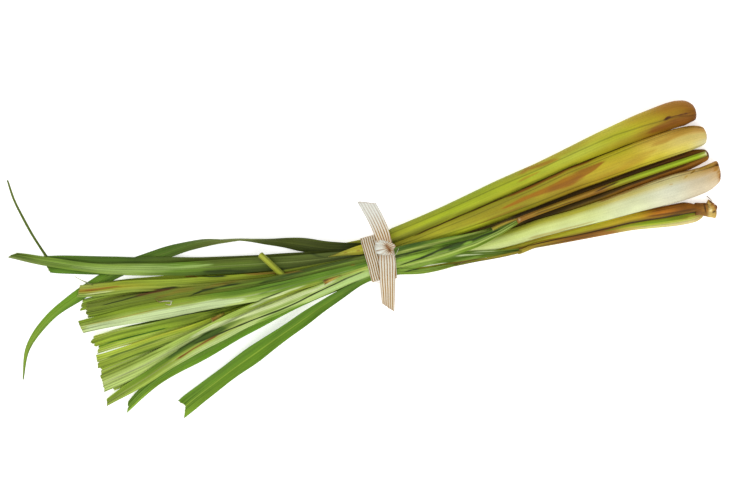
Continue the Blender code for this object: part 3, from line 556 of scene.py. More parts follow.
# route, lip and edges run from the base end; sides are (x, lower y, upper y); angles are degrees
# round the stalk, 0 on its upper side in plan, 90 facing up and 180 on its lower side; marks are
# (tone, strength, softness, line of (x, y, half width)) and buds are (x, angle, size, height)
stalks = {
    "stalk_golden": {
        "route": [(238.2, 18.2), (230, 19.6), (218, 20.2), (190, 18.8), (139, 14.6), (85, 8), (42, 4.2),
            (0, 1), (-20, 5), (-42, 8.8)],
        "streaky": 0.24,
        "sides": [(238, 11.8, 25.8), (230, 11.2, 28.4), (218, 10.8, 29.4), (190, 9.4, 28.2),
            (162, 7.2, 25.4), (139, 6, 23.8), (116, 3.5, 20), (85, 0.4, 16.2), (62, -0.6, 13.2),
            (42, -1.6, 11.6), (25, -3, 9.2), (12, -3.4, 8.6), (4, -4, 8)],
        "easeIn": 6,
        "nose": (4.5, 0.66, 0.5),
        "lip": [(0, 28), (0.3, 46), (0.7, 70), (1, 80)],
        "edges": [([(0, 150), (0.5, 128), (1, 100)], 0.35)],
        "tones": {
            "high": [(0, (188, 140, 70)), (0.12, (204, 172, 78)), (0.22, (184, 174, 44)),
                (0.33, (160, 146, 38)), (0.5, (148, 142, 38)), (0.75, (152, 148, 38)),
                (1, (146, 142, 40))],
            "mid": [(0, (214, 192, 128)), (0.06, (212, 192, 116)), (0.13, (206, 186, 84)),
                (0.2, (190, 170, 48)), (0.36, (176, 156, 42)), (0.5, (150, 136, 34)),
                (0.75, (164, 162, 44)), (1, (166, 164, 52))],
            "low": [(0, (214, 204, 168)), (0.07, (222, 206, 104)), (0.14, (208, 192, 64)),
                (0.24, (184, 164, 44)), (0.36, (158, 132, 38)), (0.5, (148, 142, 36)),
                (0.65, (176, 184, 46)), (0.8, (158, 160, 42)), (1, (150, 150, 44))],
            "cut": (186, 146, 84),
        },
        "marks": [
            ((176, 142, 42), 0.6, 0.9, [(204, 20, 1.2), (188, 15.8, 3), (172, 12, 2.6), (150, 9.4, 1.4)]),
            ((152, 104, 26), 0.9, 0.35, [(167, 21.4, 0.3), (155, 18.6, 1.5), (146, 16.2, 2.7),
                (138, 14.4, 3.1), (124, 13, 2.3), (109, 11.4, 1.5), (84, 8.6, 0.9)]),
            (rustBrown, 0.7, 0.5, [(150, 16.4, 0.6), (136, 13.6, 1.4), (118, 12.2, 0.7)]),
            (honey, 0.8, 0.6, [(233, 25.6, 1.4), (222, 25.2, 2), (208, 23.4, 1.8), (196, 21.8, 0.8)]),
            (amber, 0.7, 0.5, [(239, 23.5, 0.8), (232, 27.2, 1), (222, 28.4, 0.8)]),
            (rustBrown, 0.55, 0.6, [(239.4, 13.5, 0.8), (239.8, 22, 0.9)]),
            (rustBrown, 0.8, 0.5, [(160, 24.6, 0.5), (140, 22.6, 0.9), (118, 19, 0.7), (90, 15.2, 0.5)]),
            # painted shade along the golden stalk's upper edge, where it touches the olive stalk
            (umberAndShade, 0.75, 0.5, [(190, 28, 0.4), (140, 23.2, 0.5), (90, 15.8, 0.5), (46, 10.6, 0.5),
                (20, 7, 0.5)]),
            (rustBrown, 0.5, 0.6, [(110, 7, 0.4), (85, 4.6, 0.6), (62, 2.8, 0.4)]),
            # painted shade along the golden stalk's lower edge, where it meets the stalk below
            (umberAndShade, 0.7, 0.5, [(200, 10.2, 0.3), (160, 7.6, 0.5), (120, 4.2, 0.6), (88, 1.2, 0.5)]),
        ],
        "slot": "golden_sheath",
    },
    "stalk_pale": {
        "route": [(239.7, -7.6), (234, -9.2), (221, -11), (195, -11.2), (154, -12.4), (131, -12.4),
            (94, -12.2), (60, -11.2), (0, -7.4), (-38, -4.4)],
        "streaky": 0.14,
        "sides": [(241, -14.4, -1), (236, -17, -1.2), (229, -19.6, -1.6), (221, -20.8, -1.3),
            (209, -21.2, -0.9), (195, -21, -1.6), (181, -20.2, -2.6), (154, -19.8, -4.8),
            (131, -18.9, -5.8), (109, -18.2, -5.4), (94, -18.4, -6.6), (60, -17.4, -6.4)],
        "nose": (1.6, 0.88, 0.7),
        "slant": 2.7,
        "lip": [(0, 40), (0.4, 24), (1, 10)],
        "edges": [([(0, 170), (0.5, 160), (1, 150)], 0.25)],
        "tones": {
            "high": [(0, (184, 134, 72)), (0.06, (204, 174, 120)), (0.13, (210, 200, 156)),
                (0.25, (204, 192, 120)), (0.36, (190, 186, 74)), (0.6, (160, 168, 60)),
                (1, (150, 166, 66))],
            "mid": [(0, (206, 176, 140)), (0.06, (208, 194, 178)), (0.13, (212, 212, 204)),
                (0.24, (208, 212, 182)), (0.36, (202, 210, 150)), (0.6, (192, 206, 130)),
                (1, (170, 188, 104))],
            "low": [(0, (212, 190, 168)), (0.06, (214, 200, 186)), (0.13, (216, 214, 204)),
                (0.24, (212, 218, 188)), (0.36, (206, 216, 164)), (0.6, (202, 214, 152)),
                (1, (176, 194, 116))],
            "cut": (150, 96, 44),
        },
        "marks": [
            (honey, 0.65, 0.7, [(238, -3.6, 1.6), (240.5, -7, 2.2), (240, -12, 1.4)]),
            ((176, 124, 60), 0.8, 0.7, [(236, -16.4, 0.8), (239, -12, 1.8), (239.6, -7, 2.4),
                (238.6, -1.6, 2.2), (233, -0.8, 0.8)]),
            ((104, 60, 20), 1, 0.5, [(238.2, -14.6, 0.8), (240.2, -11, 1.3), (241, -7, 1.5),
                (241, -3.6, 1.6), (240, -0.6, 1.9)]),
            (honey, 0.8, 0.6, [(239, -1.6, 1.6), (231, -2.2, 1.6), (224, -2.6, 0.8)]),
            (amber, 0.8, 0.5, [(219, -4.4, 0.35), (224, -2.2, 0.4)]),
            (honey, 0.8, 0.5, [(213.6, -6.2, 0.4), (217.5, -4.6, 0.4)]),
            (honey, 0.6, 0.6, [(206, -7.8, 0.4), (203, -7.2, 0.5)]),
            ((150, 96, 40), 0.6, 0.6, [(236, -1.6, 0.5), (205, -1.4, 0.8), (180, -3.2, 0.8),
                (150, -5.6, 0.5)]),
            # painted shade along the pale stalk's lower edge, where it meets the rooted stalk
            (umberAndShade, 0.6, 0.5, [(200, -20.6, 0.3), (160, -19.8, 0.4), (120, -18.2, 0.4)]),
            ((168, 140, 60), 0.5, 0.6, [(150, -17.6, 0.5), (120, -17, 0.8), (96, -16.4, 0.8)]),
        ],
        "buds": [(203.5, 96, 1.3, 0.55)],
        "slot": "pale_sheath",
    },
    "stalk_olive": {
        "route": [(235, 35.6), (229, 37.8), (220, 39.3), (209, 39.2), (196, 37.6), (167, 33.8),
            (144, 30.4), (120, 26.4), (89, 22.3), (46, 15.8), (0, 10.6), (-34, 15.2)],
        "streaky": 0.26,
        "sides": [(234, 29.6, 43.6), (228, 28.9, 47.4), (220, 29.4, 48.8), (196, 27.9, 46.6),
            (167, 25.2, 42), (144, 23.1, 37.6), (120, 19.4, 33.2), (89, 15.6, 29), (66, 12.6, 25),
            (46, 10.2, 21.7), (25, 7, 19), (12, 5.4, 17.4), (4, 4.8, 16.6)],
        "easeIn": 6,
        "nose": (6.5, 0.62, 0.4),
        "lip": [(0, -44), (0.12, -62), (0.35, -110), (1, -150)],
        "edges": [([(0, 112), (0.05, 104), (0.12, 96), (0.22, 80), (1, 60)], 0.3)],
        "tones": {
            "high": [(0, (150, 96, 28)), (0.07, (158, 110, 32)), (0.14, (172, 148, 40)),
                (0.22, (182, 176, 60)), (0.4, (170, 160, 50)), (0.6, (146, 160, 38)),
                (0.8, (142, 150, 36)), (1, (130, 132, 38))],
            "mid": [(0, (132, 82, 22)), (0.06, (164, 124, 30)), (0.12, (174, 156, 34)),
                (0.2, (174, 174, 38)), (0.32, (174, 180, 62)), (0.5, (160, 170, 40)),
                (0.7, (160, 174, 38)), (0.85, (160, 164, 42)), (1, (140, 142, 40))],
            "low": [(0, (116, 70, 20)), (0.06, (134, 90, 26)), (0.12, (150, 114, 30)),
                (0.2, (158, 142, 36)), (0.3, (176, 172, 42)), (0.5, (176, 180, 46)),
                (0.62, (160, 168, 46)), (0.8, (112, 114, 32)), (1, (100, 102, 30))],
            "cut": (118, 72, 26),
        },
        "marks": [
            ((128, 78, 22), 0.7, 0.6, [(233, 33, 3), (222, 33.4, 3.4), (208, 32.4, 2.2), (196, 31, 1)]),
            ((106, 60, 20), 0.75, 0.4, [(236.5, 35.5, 0.9), (235, 31, 1), (230, 29.4, 1.2),
                (220, 29.6, 0.9)]),
            (rustBrown, 0.5, 0.6, [(236, 39, 0.9), (231, 45.5, 1)]),
            ((92, 52, 18), 0.85, 0.35, [(234, 36.7, 0.35), (222, 37.5, 0.4), (209, 37.4, 0.3)]),
            ((80, 42, 16), 0.95, 0.4, [(211.5, 36.6, 0.5), (214.5, 37.8, 1), (218, 38, 0.4)]),
            (amber, 0.75, 0.6, [(138, 31.4, 0.6), (126, 31, 1.6), (112, 30.4, 1.3), (102, 27.8, 0.4)]),
            (amber, 0.5, 0.6, [(122, 26.6, 0.4), (110, 25, 0.7), (100, 23, 0.4)]),
            # painted shade along the olive stalk's lower edge, where it meets the golden stalk
            (umberAndShade, 0.8, 0.5, [(196, 28.2, 0.4), (144, 23.6, 0.5), (92, 16.2, 0.6), (46, 10.6, 0.6),
                (24, 7.6, 0.5)]),
            ((120, 124, 34), 0.55, 0.6, [(150, 25.4, 0.8), (100, 18.4, 1), (50, 12.4, 1)]),
        ],
        "buds": [(215, 98, 1.1, -0.35)],
        "slot": "olive_sheath",
    },
    "stalk_rooted": {
        "route": [(223, -29.6), (216, -27.2), (199, -25), (172, -22.6), (143, -21.4), (114, -20.4),
            (95, -19.4), (60, -18.2), (0, -13.6), (-32, -11.5)],
        "sides": [(223, -32, -27.6), (220, -31.8, -26.4), (216, -31.4, -24.4), (212, -31, -22.4),
            (208, -30.6, -21.2), (199, -29.8, -20.8), (172, -26.4, -18.8), (143, -25, -17.8),
            (114, -23.6, -17.2), (95, -22.8, -16.6), (70, -22, -15.4)],
        "nose": (2, 0.8, 0.5),
        "lip": [(0, 150), (1, 150)],
        "edges": [([(0, 60), (0.3, 70), (1, 80)], 0.3)],
        "wrinkle": 0.1,
        "tones": ramps(
            [0, 0.05, 0.12, 0.2, 0.36, 0.55, 1],
            [(124, 80, 24), (120, 82, 22), (130, 96, 26), (112, 94, 26), (116, 90, 26), (118, 92, 28),
                (130, 116, 38)],
            [(140, 86, 24), (118, 72, 20), (174, 108, 26), (176, 150, 36), (164, 160, 38), (160, 152, 38),
                (150, 146, 44)],
            [(140, 86, 22), (130, 78, 20), (176, 106, 26), (206, 178, 44), (206, 204, 52), (174, 176, 44),
                (146, 140, 40)],
            cut=(130, 84, 38),
        ),
        "marks": [
            ((150, 92, 22), 0.6, 0.8, [(221, -26, 1), (206, -23.6, 1.6), (186, -21.8, 0.8)]),
            (umberAndShade, 0.5, 0.6, [(221, -29, 0.6), (204, -27.2, 0.8), (180, -24.2, 0.5)]),
            (umberAndShade, 0.5, 0.6, [(216, -22.8, 0.5), (200, -21.6, 0.4)]),
            (shadow, 0.9, 0.4, [(222, -31.6, 0.5), (199, -29, 0.6), (172, -25.6, 0.5), (143, -24.4, 0.5),
                (114, -22.4, 0.4), (95, -21.2, 0.3)]),
            ((150, 112, 34), 0.6, 0.5, [(150, -19.4, 0.5), (110, -18.6, 0.6), (92, -18.2, 0.6)]),
        ],
        "slot": "golden_sheath",
    },
    "stalk_brown": {
        "route": [(236.2, 5.4), (229, 5.6), (218, 5.4), (201, 4.5), (186, 3.8), (158, 1.2), (135, -0.2),
            (113, -1), (82, -2.9), (60, -3.6), (0, -3.6), (-30, 0.5)],
        "sides": [(236.4, 1.6, 9.2), (229, -0.2, 11.4), (218, -1.8, 12.4), (201, -3.2, 12.2),
            (186, -4.2, 11.6), (158, -6.6, 8.9), (135, -7.6, 7.4), (113, -7.2, 5), (82, -7.6, 2.2),
            (60, -8, 1.4), (44, -8, 1.4)],
        "nose": (3, 0.8, 0.8),
        "lip": [(0, 100), (1, 110)],
        "edges": [([(0, 30), (0.5, 40), (1, 40)], 0.3)],
        "trough": (1.7, 2.6, 0.2),
        "wrinkle": 0.22,
        # the dark tones are partly the stalk's own brown and partly painted shade, as it lies low between
        # its neighbours
        "tones": {
            "high": [(0, (124, 82, 26)), (0.08, (112, 66, 20)), (0.2, (96, 62, 20)), (0.4, (84, 62, 20)),
                (0.6, (92, 78, 24)), (1, (76, 60, 24))],
            "mid": [(0, (104, 68, 22)), (0.08, (88, 58, 18)), (0.2, (84, 62, 20)), (0.4, (78, 62, 20)),
                (0.6, (64, 52, 20)), (1, (60, 48, 20))],
            "low": [(0, (168, 114, 38)), (0.08, (176, 116, 34)), (0.2, (160, 108, 30)),
                (0.34, (120, 96, 26)), (0.5, (86, 76, 22)), (1, (86, 78, 30))],
            "cut": (96, 60, 26),
        },
        "marks": [
            (rustBrown, 0.8, 0.5, [(234, 2, 0.8), (220, -0.4, 1), (200, -0.8, 1.1), (182, -1.8, 0.8),
                (166, -3.2, 0.4)]),
            (shadow, 0.7, 0.5, [(224, 2.9, 0.5), (190, 1.2, 0.6), (160, -1.4, 1), (120, -3.6, 1.2),
                (96, -4.6, 1)]),
            (shadow, 0.8, 0.5, [(226, 10.4, 0.5), (200, 9.4, 0.8), (160, 6.6, 1), (120, 3.4, 1),
                (90, 0.8, 1)]),
            (amber, 0.6, 0.6, [(236, 3.6, 0.7), (236.6, 7.4, 0.7)]),
        ],
        "slot": "brown_sheath",
    },
}


def stalkStations(look):
    # fine steps near the base end, where the shape turns quickly
    plan, run = walk(look["route"], stalkShape["step"])
    fine = np.arange(0, stalkShape["fineReach"], stalkShape["fineStep"])
    wanted = np.concatenate([fine, run[run > stalkShape["fineReach"]]])
    return np.stack([np.interp(wanted, run, plan[:, k]) for k in (0, 1)], axis=1), wanted


def fromBeyond(values, run, length):
    # the values near the start replaced by the straight line through those beyond the length
    later = (run > length) & (run < length + stalkShape["beyond"])
    slope, level = np.polyfit(run[later] - length, values[later], 1)
    blend = ease((run - length) / stalkShape["beyondEase"])
    return values * blend + (level + slope * (run - length)) * (1 - blend)


def readStalk(solid, plan, run, nose):
    # smooth centre line and radius of a round CAD stem; the CAD section is a 14-sided spiral, so
    # its top and width fall a little short of the true circle
    offset, radius, top = solid.girdle(plan)
    even = np.arange(0, run[-1], stalkShape["evenStep"])
    read = (offset, radius / stalkShape["wide"], top - radius * stalkShape["high"])
    columns = [np.interp(even, run, column) for column in read]
    columns = [soften(fromBeyond(column, even, nose), stalkShape["smooth"]) for column in columns]
    offset, radius, height = [np.interp(run, even, column) for column in columns]
    return plan + rightOf(plan) * offset[:, None], height, radius


def fitSides(look, centre, radius):
    # centre line and sideways half width between the dictionary's sides, going over to the
    # solid's own beyond their last station
    if "sides" not in look:
        return centre, radius
    table = np.array(look["sides"][::-1], float)
    x = centre[:, 0]
    low, high = (np.interp(x, table[:, 0], table[:, k]) for k in (1, 2))
    low, high = soften(low, 3), soften(high, 3)
    square = np.abs(rightOf(centre)[:, 1])
    blend = ease((x - table[0, 0]) / look.get("easeIn", stalkShape["easeIn"]))
    moved = centre.copy()
    moved[:, 1] += ((low + high) / 2 - centre[:, 1]) * blend
    return moved, radius * (1 - blend) + (high - low) / 2 * square * blend


def growStalk(name, look, seed):
    # a spiral section carried along the centre line: radius x (1 - lip x (1 - turn^2.2)), so the
    # sheath's free edge is the step where the spiral closes; inner sheath edges are small steps
    # of the radius, and the base end is closed by wound rings that sink to its middle
    shape = stalkShape
    plan, run = stalkStations(look)
    length, narrow, cap = look["nose"]
    node = look.get("node", name)
    centre, height, radius = readStalk(Solid(node), plan, run, length)
    radius = radius * look.get("swell", 1)
    centre, half = fitSides(look, centre, radius)
    share = run / run[-1]
    turn = np.linspace(0, 1, shape["columns"])[None, :]
    angle = np.radians(readAt(look["lip"], share))[:, None] + 2 * math.pi * turn
    body = shape["full"] * (1 - shape["lip"] * (1 - turn ** shape["spiral"])) * np.ones((len(run), 1))
    size = radius[:, None]
    # painted shade: dark lines along the outer sheath's free edge and along the inner sheath edges
    shade, wide = shape["lipShade"]
    crease = np.exp(-((turn / wide) ** 2)) * shade * np.ones((len(run), 1))
    shade, wide = shape["edgeShade"]
    for route, rise in look.get("edges", ()):
        place = np.radians(readAt(route, share))[:, None]
        past = ((angle - place) % (2 * math.pi)) / (2 * math.pi)
        step = ease((1 - past) * shape["edgeFade"]) * ease(past / shape["edgeWidth"] + shape["edgeFoot"])
        body = body - rise / size * (1 - past) * step * shape["edgeStep"]
        crease += shade * np.exp(-(((past + 0.5) % 1 - 0.5) / wide) ** 2)
    body = body * (1 + shape["uneven"] * wander(body.shape, shape["unevenCells"], seed))
    wrinkles = wander(body.shape, shape["wrinkleCells"], seed + 1) * shape["wrinkleShare"]
    body += look.get("wrinkle", shape["wrinkle"]) / size * wrinkles
    if "knobs" in look:
        knobs = wander(body.shape, shape["knobCells"], seed + 2) * shape["knobShare"]
        body += readAt(look["knobs"], run)[:, None] / size * knobs
    for place, at, wide, rise in look.get("buds", ()):
        sideways = np.radians((np.degrees(angle) - at + 180) % 360 - 180) * size
        body += rise / size * np.exp(-(((plan[:, :1] - place) / wide) ** 2) - (sideways / wide) ** 2)
    closing = np.clip(1 - run / length, 0, 1)
    body *= (narrow + (1 - narrow) * np.sqrt(1 - closing**2))[:, None]
    opening, wider = look.get("flare", (1, 0))
    body *= 1 + wider * ease((share - opening) / shape["flareOver"])[:, None]
    side = rightOf(centre)
    lateral = body * np.cos(angle) * half[:, None]
    up = body * np.sin(angle) * size
    if "trough" in look:
        deep, wide, shift = look["trough"]
        hollow = deep * np.exp(-(((lateral - shift) / wide) ** 2)) * np.clip(np.sin(angle) * 3, 0, 1)
        up -= hollow * ease((half[:, None] - shape["troughHalf"]) / shape["troughHalf"])
    grid = centre[:, None] + lateral[..., None] * side[:, None]
    pull = look.get("slant", 0) * lateral / half[:, None] * ease(1 - run / shape["slantOver"])[:, None]
    grid = grid + pull[..., None] * np.stack([side[:, 1], -side[:, 0]], axis=1)[:, None]
    grid = np.concatenate([grid, (height[:, None] + up)[..., None]], axis=2)
    facing = np.clip(np.sin(angle) * shape["facing"] + 0.5, 0, 1)
    tint, cover = paintMarks(grid[..., 0], grid[..., 1], look.get("marks", ()), seed + 3, facing)
    reach, wave = windings(turn)
    grid = np.concatenate([capRings(grid, cap, reach, wave), grid])
    extra = len(reach)
    fray = np.concatenate([np.zeros(extra), run + shape["endGap"]])
    grid[..., 2] = np.maximum(grid[..., 2], 0)
    attributes = {
        "across": padRows(np.cos(angle) * np.ones_like(body), extra),
        "share": padRows(share[:, None] * np.ones_like(body), extra),
        "run": padRows(run[:, None] * np.ones_like(body), extra),
        "lateral": padRows(radius.mean() * angle, extra),
        # painted shade: darker along the wave over the cut end's wound layers, then the sheath edge lines
        "crease": np.concatenate([(0.5 + 0.5 * wave) * shape["ringShade"], crease]),
        "cover": padRows(cover, extra),
        "tint": padRows(tint, extra),
        "fray": np.repeat(fray[:, None], grid.shape[1], axis=1),
    }
    points, faces, values = closeEnds(grid, attributes)
    finish = makePlantFinish(name, look["tones"], streaky=look.get("streaky", 0.5))
    full = name + look.get("kind", "_sheath")
    addPiece(full, points, faces, finish, [node], values)
    pile.cover(grid)


def windings(turn):
    # places of the rings on a cut end, from its middle to its rim, and a wave over them that
    # winds outwards once per sheath layer
    reach = np.linspace(stalkShape["capStart"], 1, stalkShape["capRings"] + 1)[:-1, None]
    return reach, np.sin(2 * math.pi * (stalkShape["layers"] * reach + turn))


def capRings(grid, cap, reach, wave):
    # rings from the middle of the cut end out to its rim; the end bulges by cap x (1 - r^2.4), with
    # the wave as a ripple
    rim, middle = grid[0], grid[0].mean(axis=0)
    outward = middle - grid[3].mean(axis=0)
    outward /= np.linalg.norm(outward)
    ripple = stalkShape["ringRelief"] * wave * ease((1 - reach) * 6)
    depth = cap * (1 - reach ** stalkShape["capPower"]) + ripple
    return middle + (rim - middle) * reach[..., None] + outward * depth[..., None]


def padRows(values, extra):
    return np.concatenate([np.repeat(values[:1], extra, axis=0), values])


def closeEnds(grid, attributes):
    # ring faces, with a fan to a middle point at either end
    rows, columns = grid.shape[:2]
    points = np.concatenate([grid.reshape(-1, 3), [grid[0].mean(axis=0), grid[-1].mean(axis=0)]])
    faces = ringFaces(rows, columns).tolist()
    base, tip, last = rows * columns, rows * columns + 1, (rows - 1) * columns
    faces += [(base, (k + 1) % columns, k) for k in range(columns)]
    faces += [(tip, last + k, last + (k + 1) % columns) for k in range(columns)]
    values = {}
    for label, field in attributes.items():
        ends = np.stack([field[0].mean(axis=0), field[-1].mean(axis=0)])
        values[label] = np.concatenate([field.reshape(rows * columns, *field.shape[2:]), ends])
    return points, faces, values


for number, (name, look) in enumerate(stalks.items()):
    growStalk(name, look, seed=10 * number + 5)
print("stalks grown")


# slim stems that end in a collar

stems = {
    "bright_stem": {
        "node": "leaf_bright_fan",
        "route": [(222, -34.4), (216, -33.9), (199, -32.6), (172, -28.3), (143, -26.2), (114, -23.9),
            (89.5, -21.8)],
        "sides": [(222, -36.6, -31.6), (216, -37.9, -29.8), (207, -37.6, -29), (199, -36.4, -28.4),
            (172, -31.2, -25), (143, -28.4, -23.6), (114, -25.7, -20.8), (101, -24.3, -20.6),
            (90, -22.7, -20.4)],
        "nose": (6, 0.45, 0.6),
        "lip": [(0, 20), (1, 60)],
        "edges": [([(0, 120), (1, 110)], 0.12)],
        "flare": (0.975, 0.05),
        "tones": ramps(
            [0, 0.08, 0.28, 0.42, 0.5, 0.7, 0.9, 1],
            [(206, 180, 120), (216, 200, 148), (204, 196, 130), (188, 168, 92), (160, 112, 52),
                (146, 102, 38), (156, 136, 44), (184, 170, 76)],
            [(180, 160, 96), (176, 186, 74), (168, 182, 56), (172, 160, 56), (152, 104, 44),
                (136, 88, 30), (152, 128, 40), (184, 166, 66)],
            [(128, 116, 40), (150, 168, 44), (156, 176, 42), (150, 150, 40), (138, 92, 32), (130, 84, 28),
                (150, 124, 38), (176, 160, 60)],
            cut=(150, 110, 54),
        ),
        "marks": [
            (rustBrown, 0.6, 0.6, [(220, -33.4, 0.5), (208, -32.4, 0.8), (194, -30.8, 0.4)]),
            ((120, 150, 34), 0.7, 0.5, [(214, -32.6, 0.5), (196, -31, 0.8), (172, -27.6, 0.6),
                (150, -26.2, 0.4)]),
            (shadow, 0.9, 0.4, [(222, -31.4, 0.4), (199, -28.8, 0.6), (172, -25.4, 0.5),
                (143, -24.2, 0.5), (114, -22.2, 0.4), (95, -21.2, 0.3)]),
            (umberAndShade, 0.5, 0.6, [(150, -27.4, 0.4), (120, -25, 0.5), (98, -23.4, 0.4)]),
        ],
        "slot": "green_blade",
    },
    "collared_stem": {
        "node": "leaf_collared_fan",
        "route": [(234.5, 6.3), (186, 4.2), (158, 2.4), (128, 0.6), (93.5, -2.2)],
        "sides": [(234.5, 4.4, 8.3), (186, 2.1, 6.4), (158, 0.4, 4.6), (128, -1.4, 2.6),
            (94, -3.9, -0.4)],
        "nose": (1.2, 0.85, 0.2),
        "lip": [(0, 140), (1, 100)],
        "edges": [([(0, 70), (1, 60)], 0.1)],
        "flare": (0.975, 0.14),
        "tones": ramps(
            [0, 0.05, 0.3, 0.44, 0.56, 0.8, 1],
            [(150, 150, 60), (146, 162, 38), (146, 150, 38), (140, 130, 36), (140, 96, 36),
                (150, 118, 36), (160, 112, 50)],
            [(196, 200, 130), (156, 182, 40), (156, 178, 40), (154, 160, 42), (158, 116, 44),
                (158, 134, 38), (170, 122, 52)],
            [(150, 160, 60), (132, 152, 34), (134, 150, 36), (132, 136, 36), (136, 100, 34),
                (126, 96, 28), (150, 104, 44)],
            cut=(206, 200, 160),
        ),
        "marks": [
            (umberAndShade, 0.8, 0.5, [(172, 4.6, 0.4), (160, 3.2, 0.6), (150, 1.6, 0.4)]),
            (umberAndShade, 0.6, 0.5, [(140, 0.4, 0.4), (120, -0.6, 0.5), (104, -1.6, 0.4)]),
            ((206, 176, 140), 0.85, 0.4, [(96.4, -3.4, 0.8), (96.2, -0.4, 0.9)]),
            ((214, 214, 180), 0.9, 0.4, [(234.2, 4.8, 0.6), (234.2, 8, 0.6)]),
        ],
        "slot": "green_blade",
    },
    "root_knob": {
        "node": "stalk_rooted",
        "route": [(231.6, -31.8), (229, -31.9), (225.5, -31.6), (222, -30.2), (219, -29), (217.4, -28.6)],
        "sides": [(231.6, -36, -27.4), (229.5, -38.2, -25.4), (227, -38.4, -25.3), (224.6, -36, -26.6),
            (222.4, -34.2, -26.4), (219.6, -32, -26.6), (217.4, -30, -27.4)],
        "nose": (1.6, 0.55, 1.2),
        "lip": [(0, 40), (1, 60)],
        "knobs": [(0, 0.9), (3, 1.5), (7, 1.3), (10, 0.5), (14, 0.1)],
        "tones": {
            "high": [(0, (150, 92, 34)), (0.2, (176, 120, 50)), (0.36, (196, 160, 84)),
                (0.48, (136, 88, 34)), (1, (120, 74, 26))],
            "mid": [(0, (140, 84, 30)), (0.18, (196, 156, 84)), (0.34, (218, 190, 124)),
                (0.46, (156, 108, 44)), (1, (124, 78, 28))],
            "low": [(0, (150, 96, 38)), (0.18, (206, 172, 100)), (0.34, (214, 184, 116)),
                (0.5, (150, 106, 44)), (1, (120, 76, 28))],
            "cut": (128, 78, 32),
        },
        "marks": [
            (umberAndShade, 0.8, 0.6, [(231, -27.4, 0.9), (227.5, -26.4, 0.7)]),
            (umberAndShade, 0.8, 0.6, [(230.5, -33.8, 1), (227.5, -34.6, 0.6)]),
            ((120, 66, 22), 0.9, 0.5, [(232, -28.8, 0.9), (232.6, -33, 1)]),
            (umberAndShade, 0.8, 0.5, [(223.2, -34, 0.5), (223.6, -30, 0.6), (224, -26.4, 0.5)]),
            (umberAndShade, 0.7, 0.5, [(227.6, -30.6, 0.5), (225.4, -29.4, 0.6)]),
            ((232, 214, 168), 0.8, 0.5, [(228.4, -31.6, 0.8), (226.2, -33.4, 0.9)]),
            ((226, 200, 140), 0.8, 0.5, [(229.2, -29, 0.8), (226.4, -28, 0.7)]),
        ],
        "slot": "golden_sheath",
    },
}

for number, (name, look) in enumerate(stems.items()):
    growStalk(name, look, seed=10 * number + 75)
print("stems grown")


# leaf blades

bladeShape = {
    "step": 1.3,
    "fewest": 24,  # a short piece still gets about this many steps
    "columns": 41,
    "ribbing": 0.05,  # fine lengthwise ridges
    "ribbingCells": (16, 1.1),
    "thick": 0.34,
    "edgeThick": 0.14,
    "thinnest": 0.1,
    "floor": 0.02,
    "spare": 0.10,  # left between a blade and what it lies on
    "wave": 0.22,  # how far the edges wander up and down
    "waveCells": (6, 7),
    "stray": 0.20,  # how far the whole blade wanders sideways
    "strayCells": 9,
    "widthWave": 0.05,
    "widthCells": 7,
    "keel": 0.30,  # the midrib stands out underneath
    "keelWidth": 0.10,
    "furrow": 0.10,  # and is sunk above
    "furrowWidth": 0.07,
    "tieAt": -4,  # the blades lie calm where they are tied
    "calmOver": 40,
    "stiff": 0.75,  # far from the tie this share of a lift takes the whole width up
    "stiffFrom": 22,
    "stiffOver": 50,
    "easeRounds": 30,
    "stiffRounds": 60,
    "stiffFall": 0.01,  # the lift falls off by at least this much from station to station
    "keelEnd": (1.15, 3),  # the keel fades out towards this share of the length, this fast
    "fromSpare": 0.004,
    "creaseShade": 0.55,
    "creaseMost": 0.8,
    "runOffset": 37.0,  # moves the noise on from blade to blade
    "lateralOffset": 3.1,
    "endGap": 0.35,
}

# how a blade's far end is cut and frayed
cutShape = {
    "notch": 0.7,  # share of a notch's depth and width that is cut out
    "notchWidth": 1.6,
    "fringe": 0.16,
    "fringeCells": 0.8,
    "reach": 4,  # the cut moves the blade's stations back to here, and further for a long cut
    "reachShare": 2.2,
    "power": 1.5,
}

deep, olive = (54, 64, 22), (98, 112, 34)
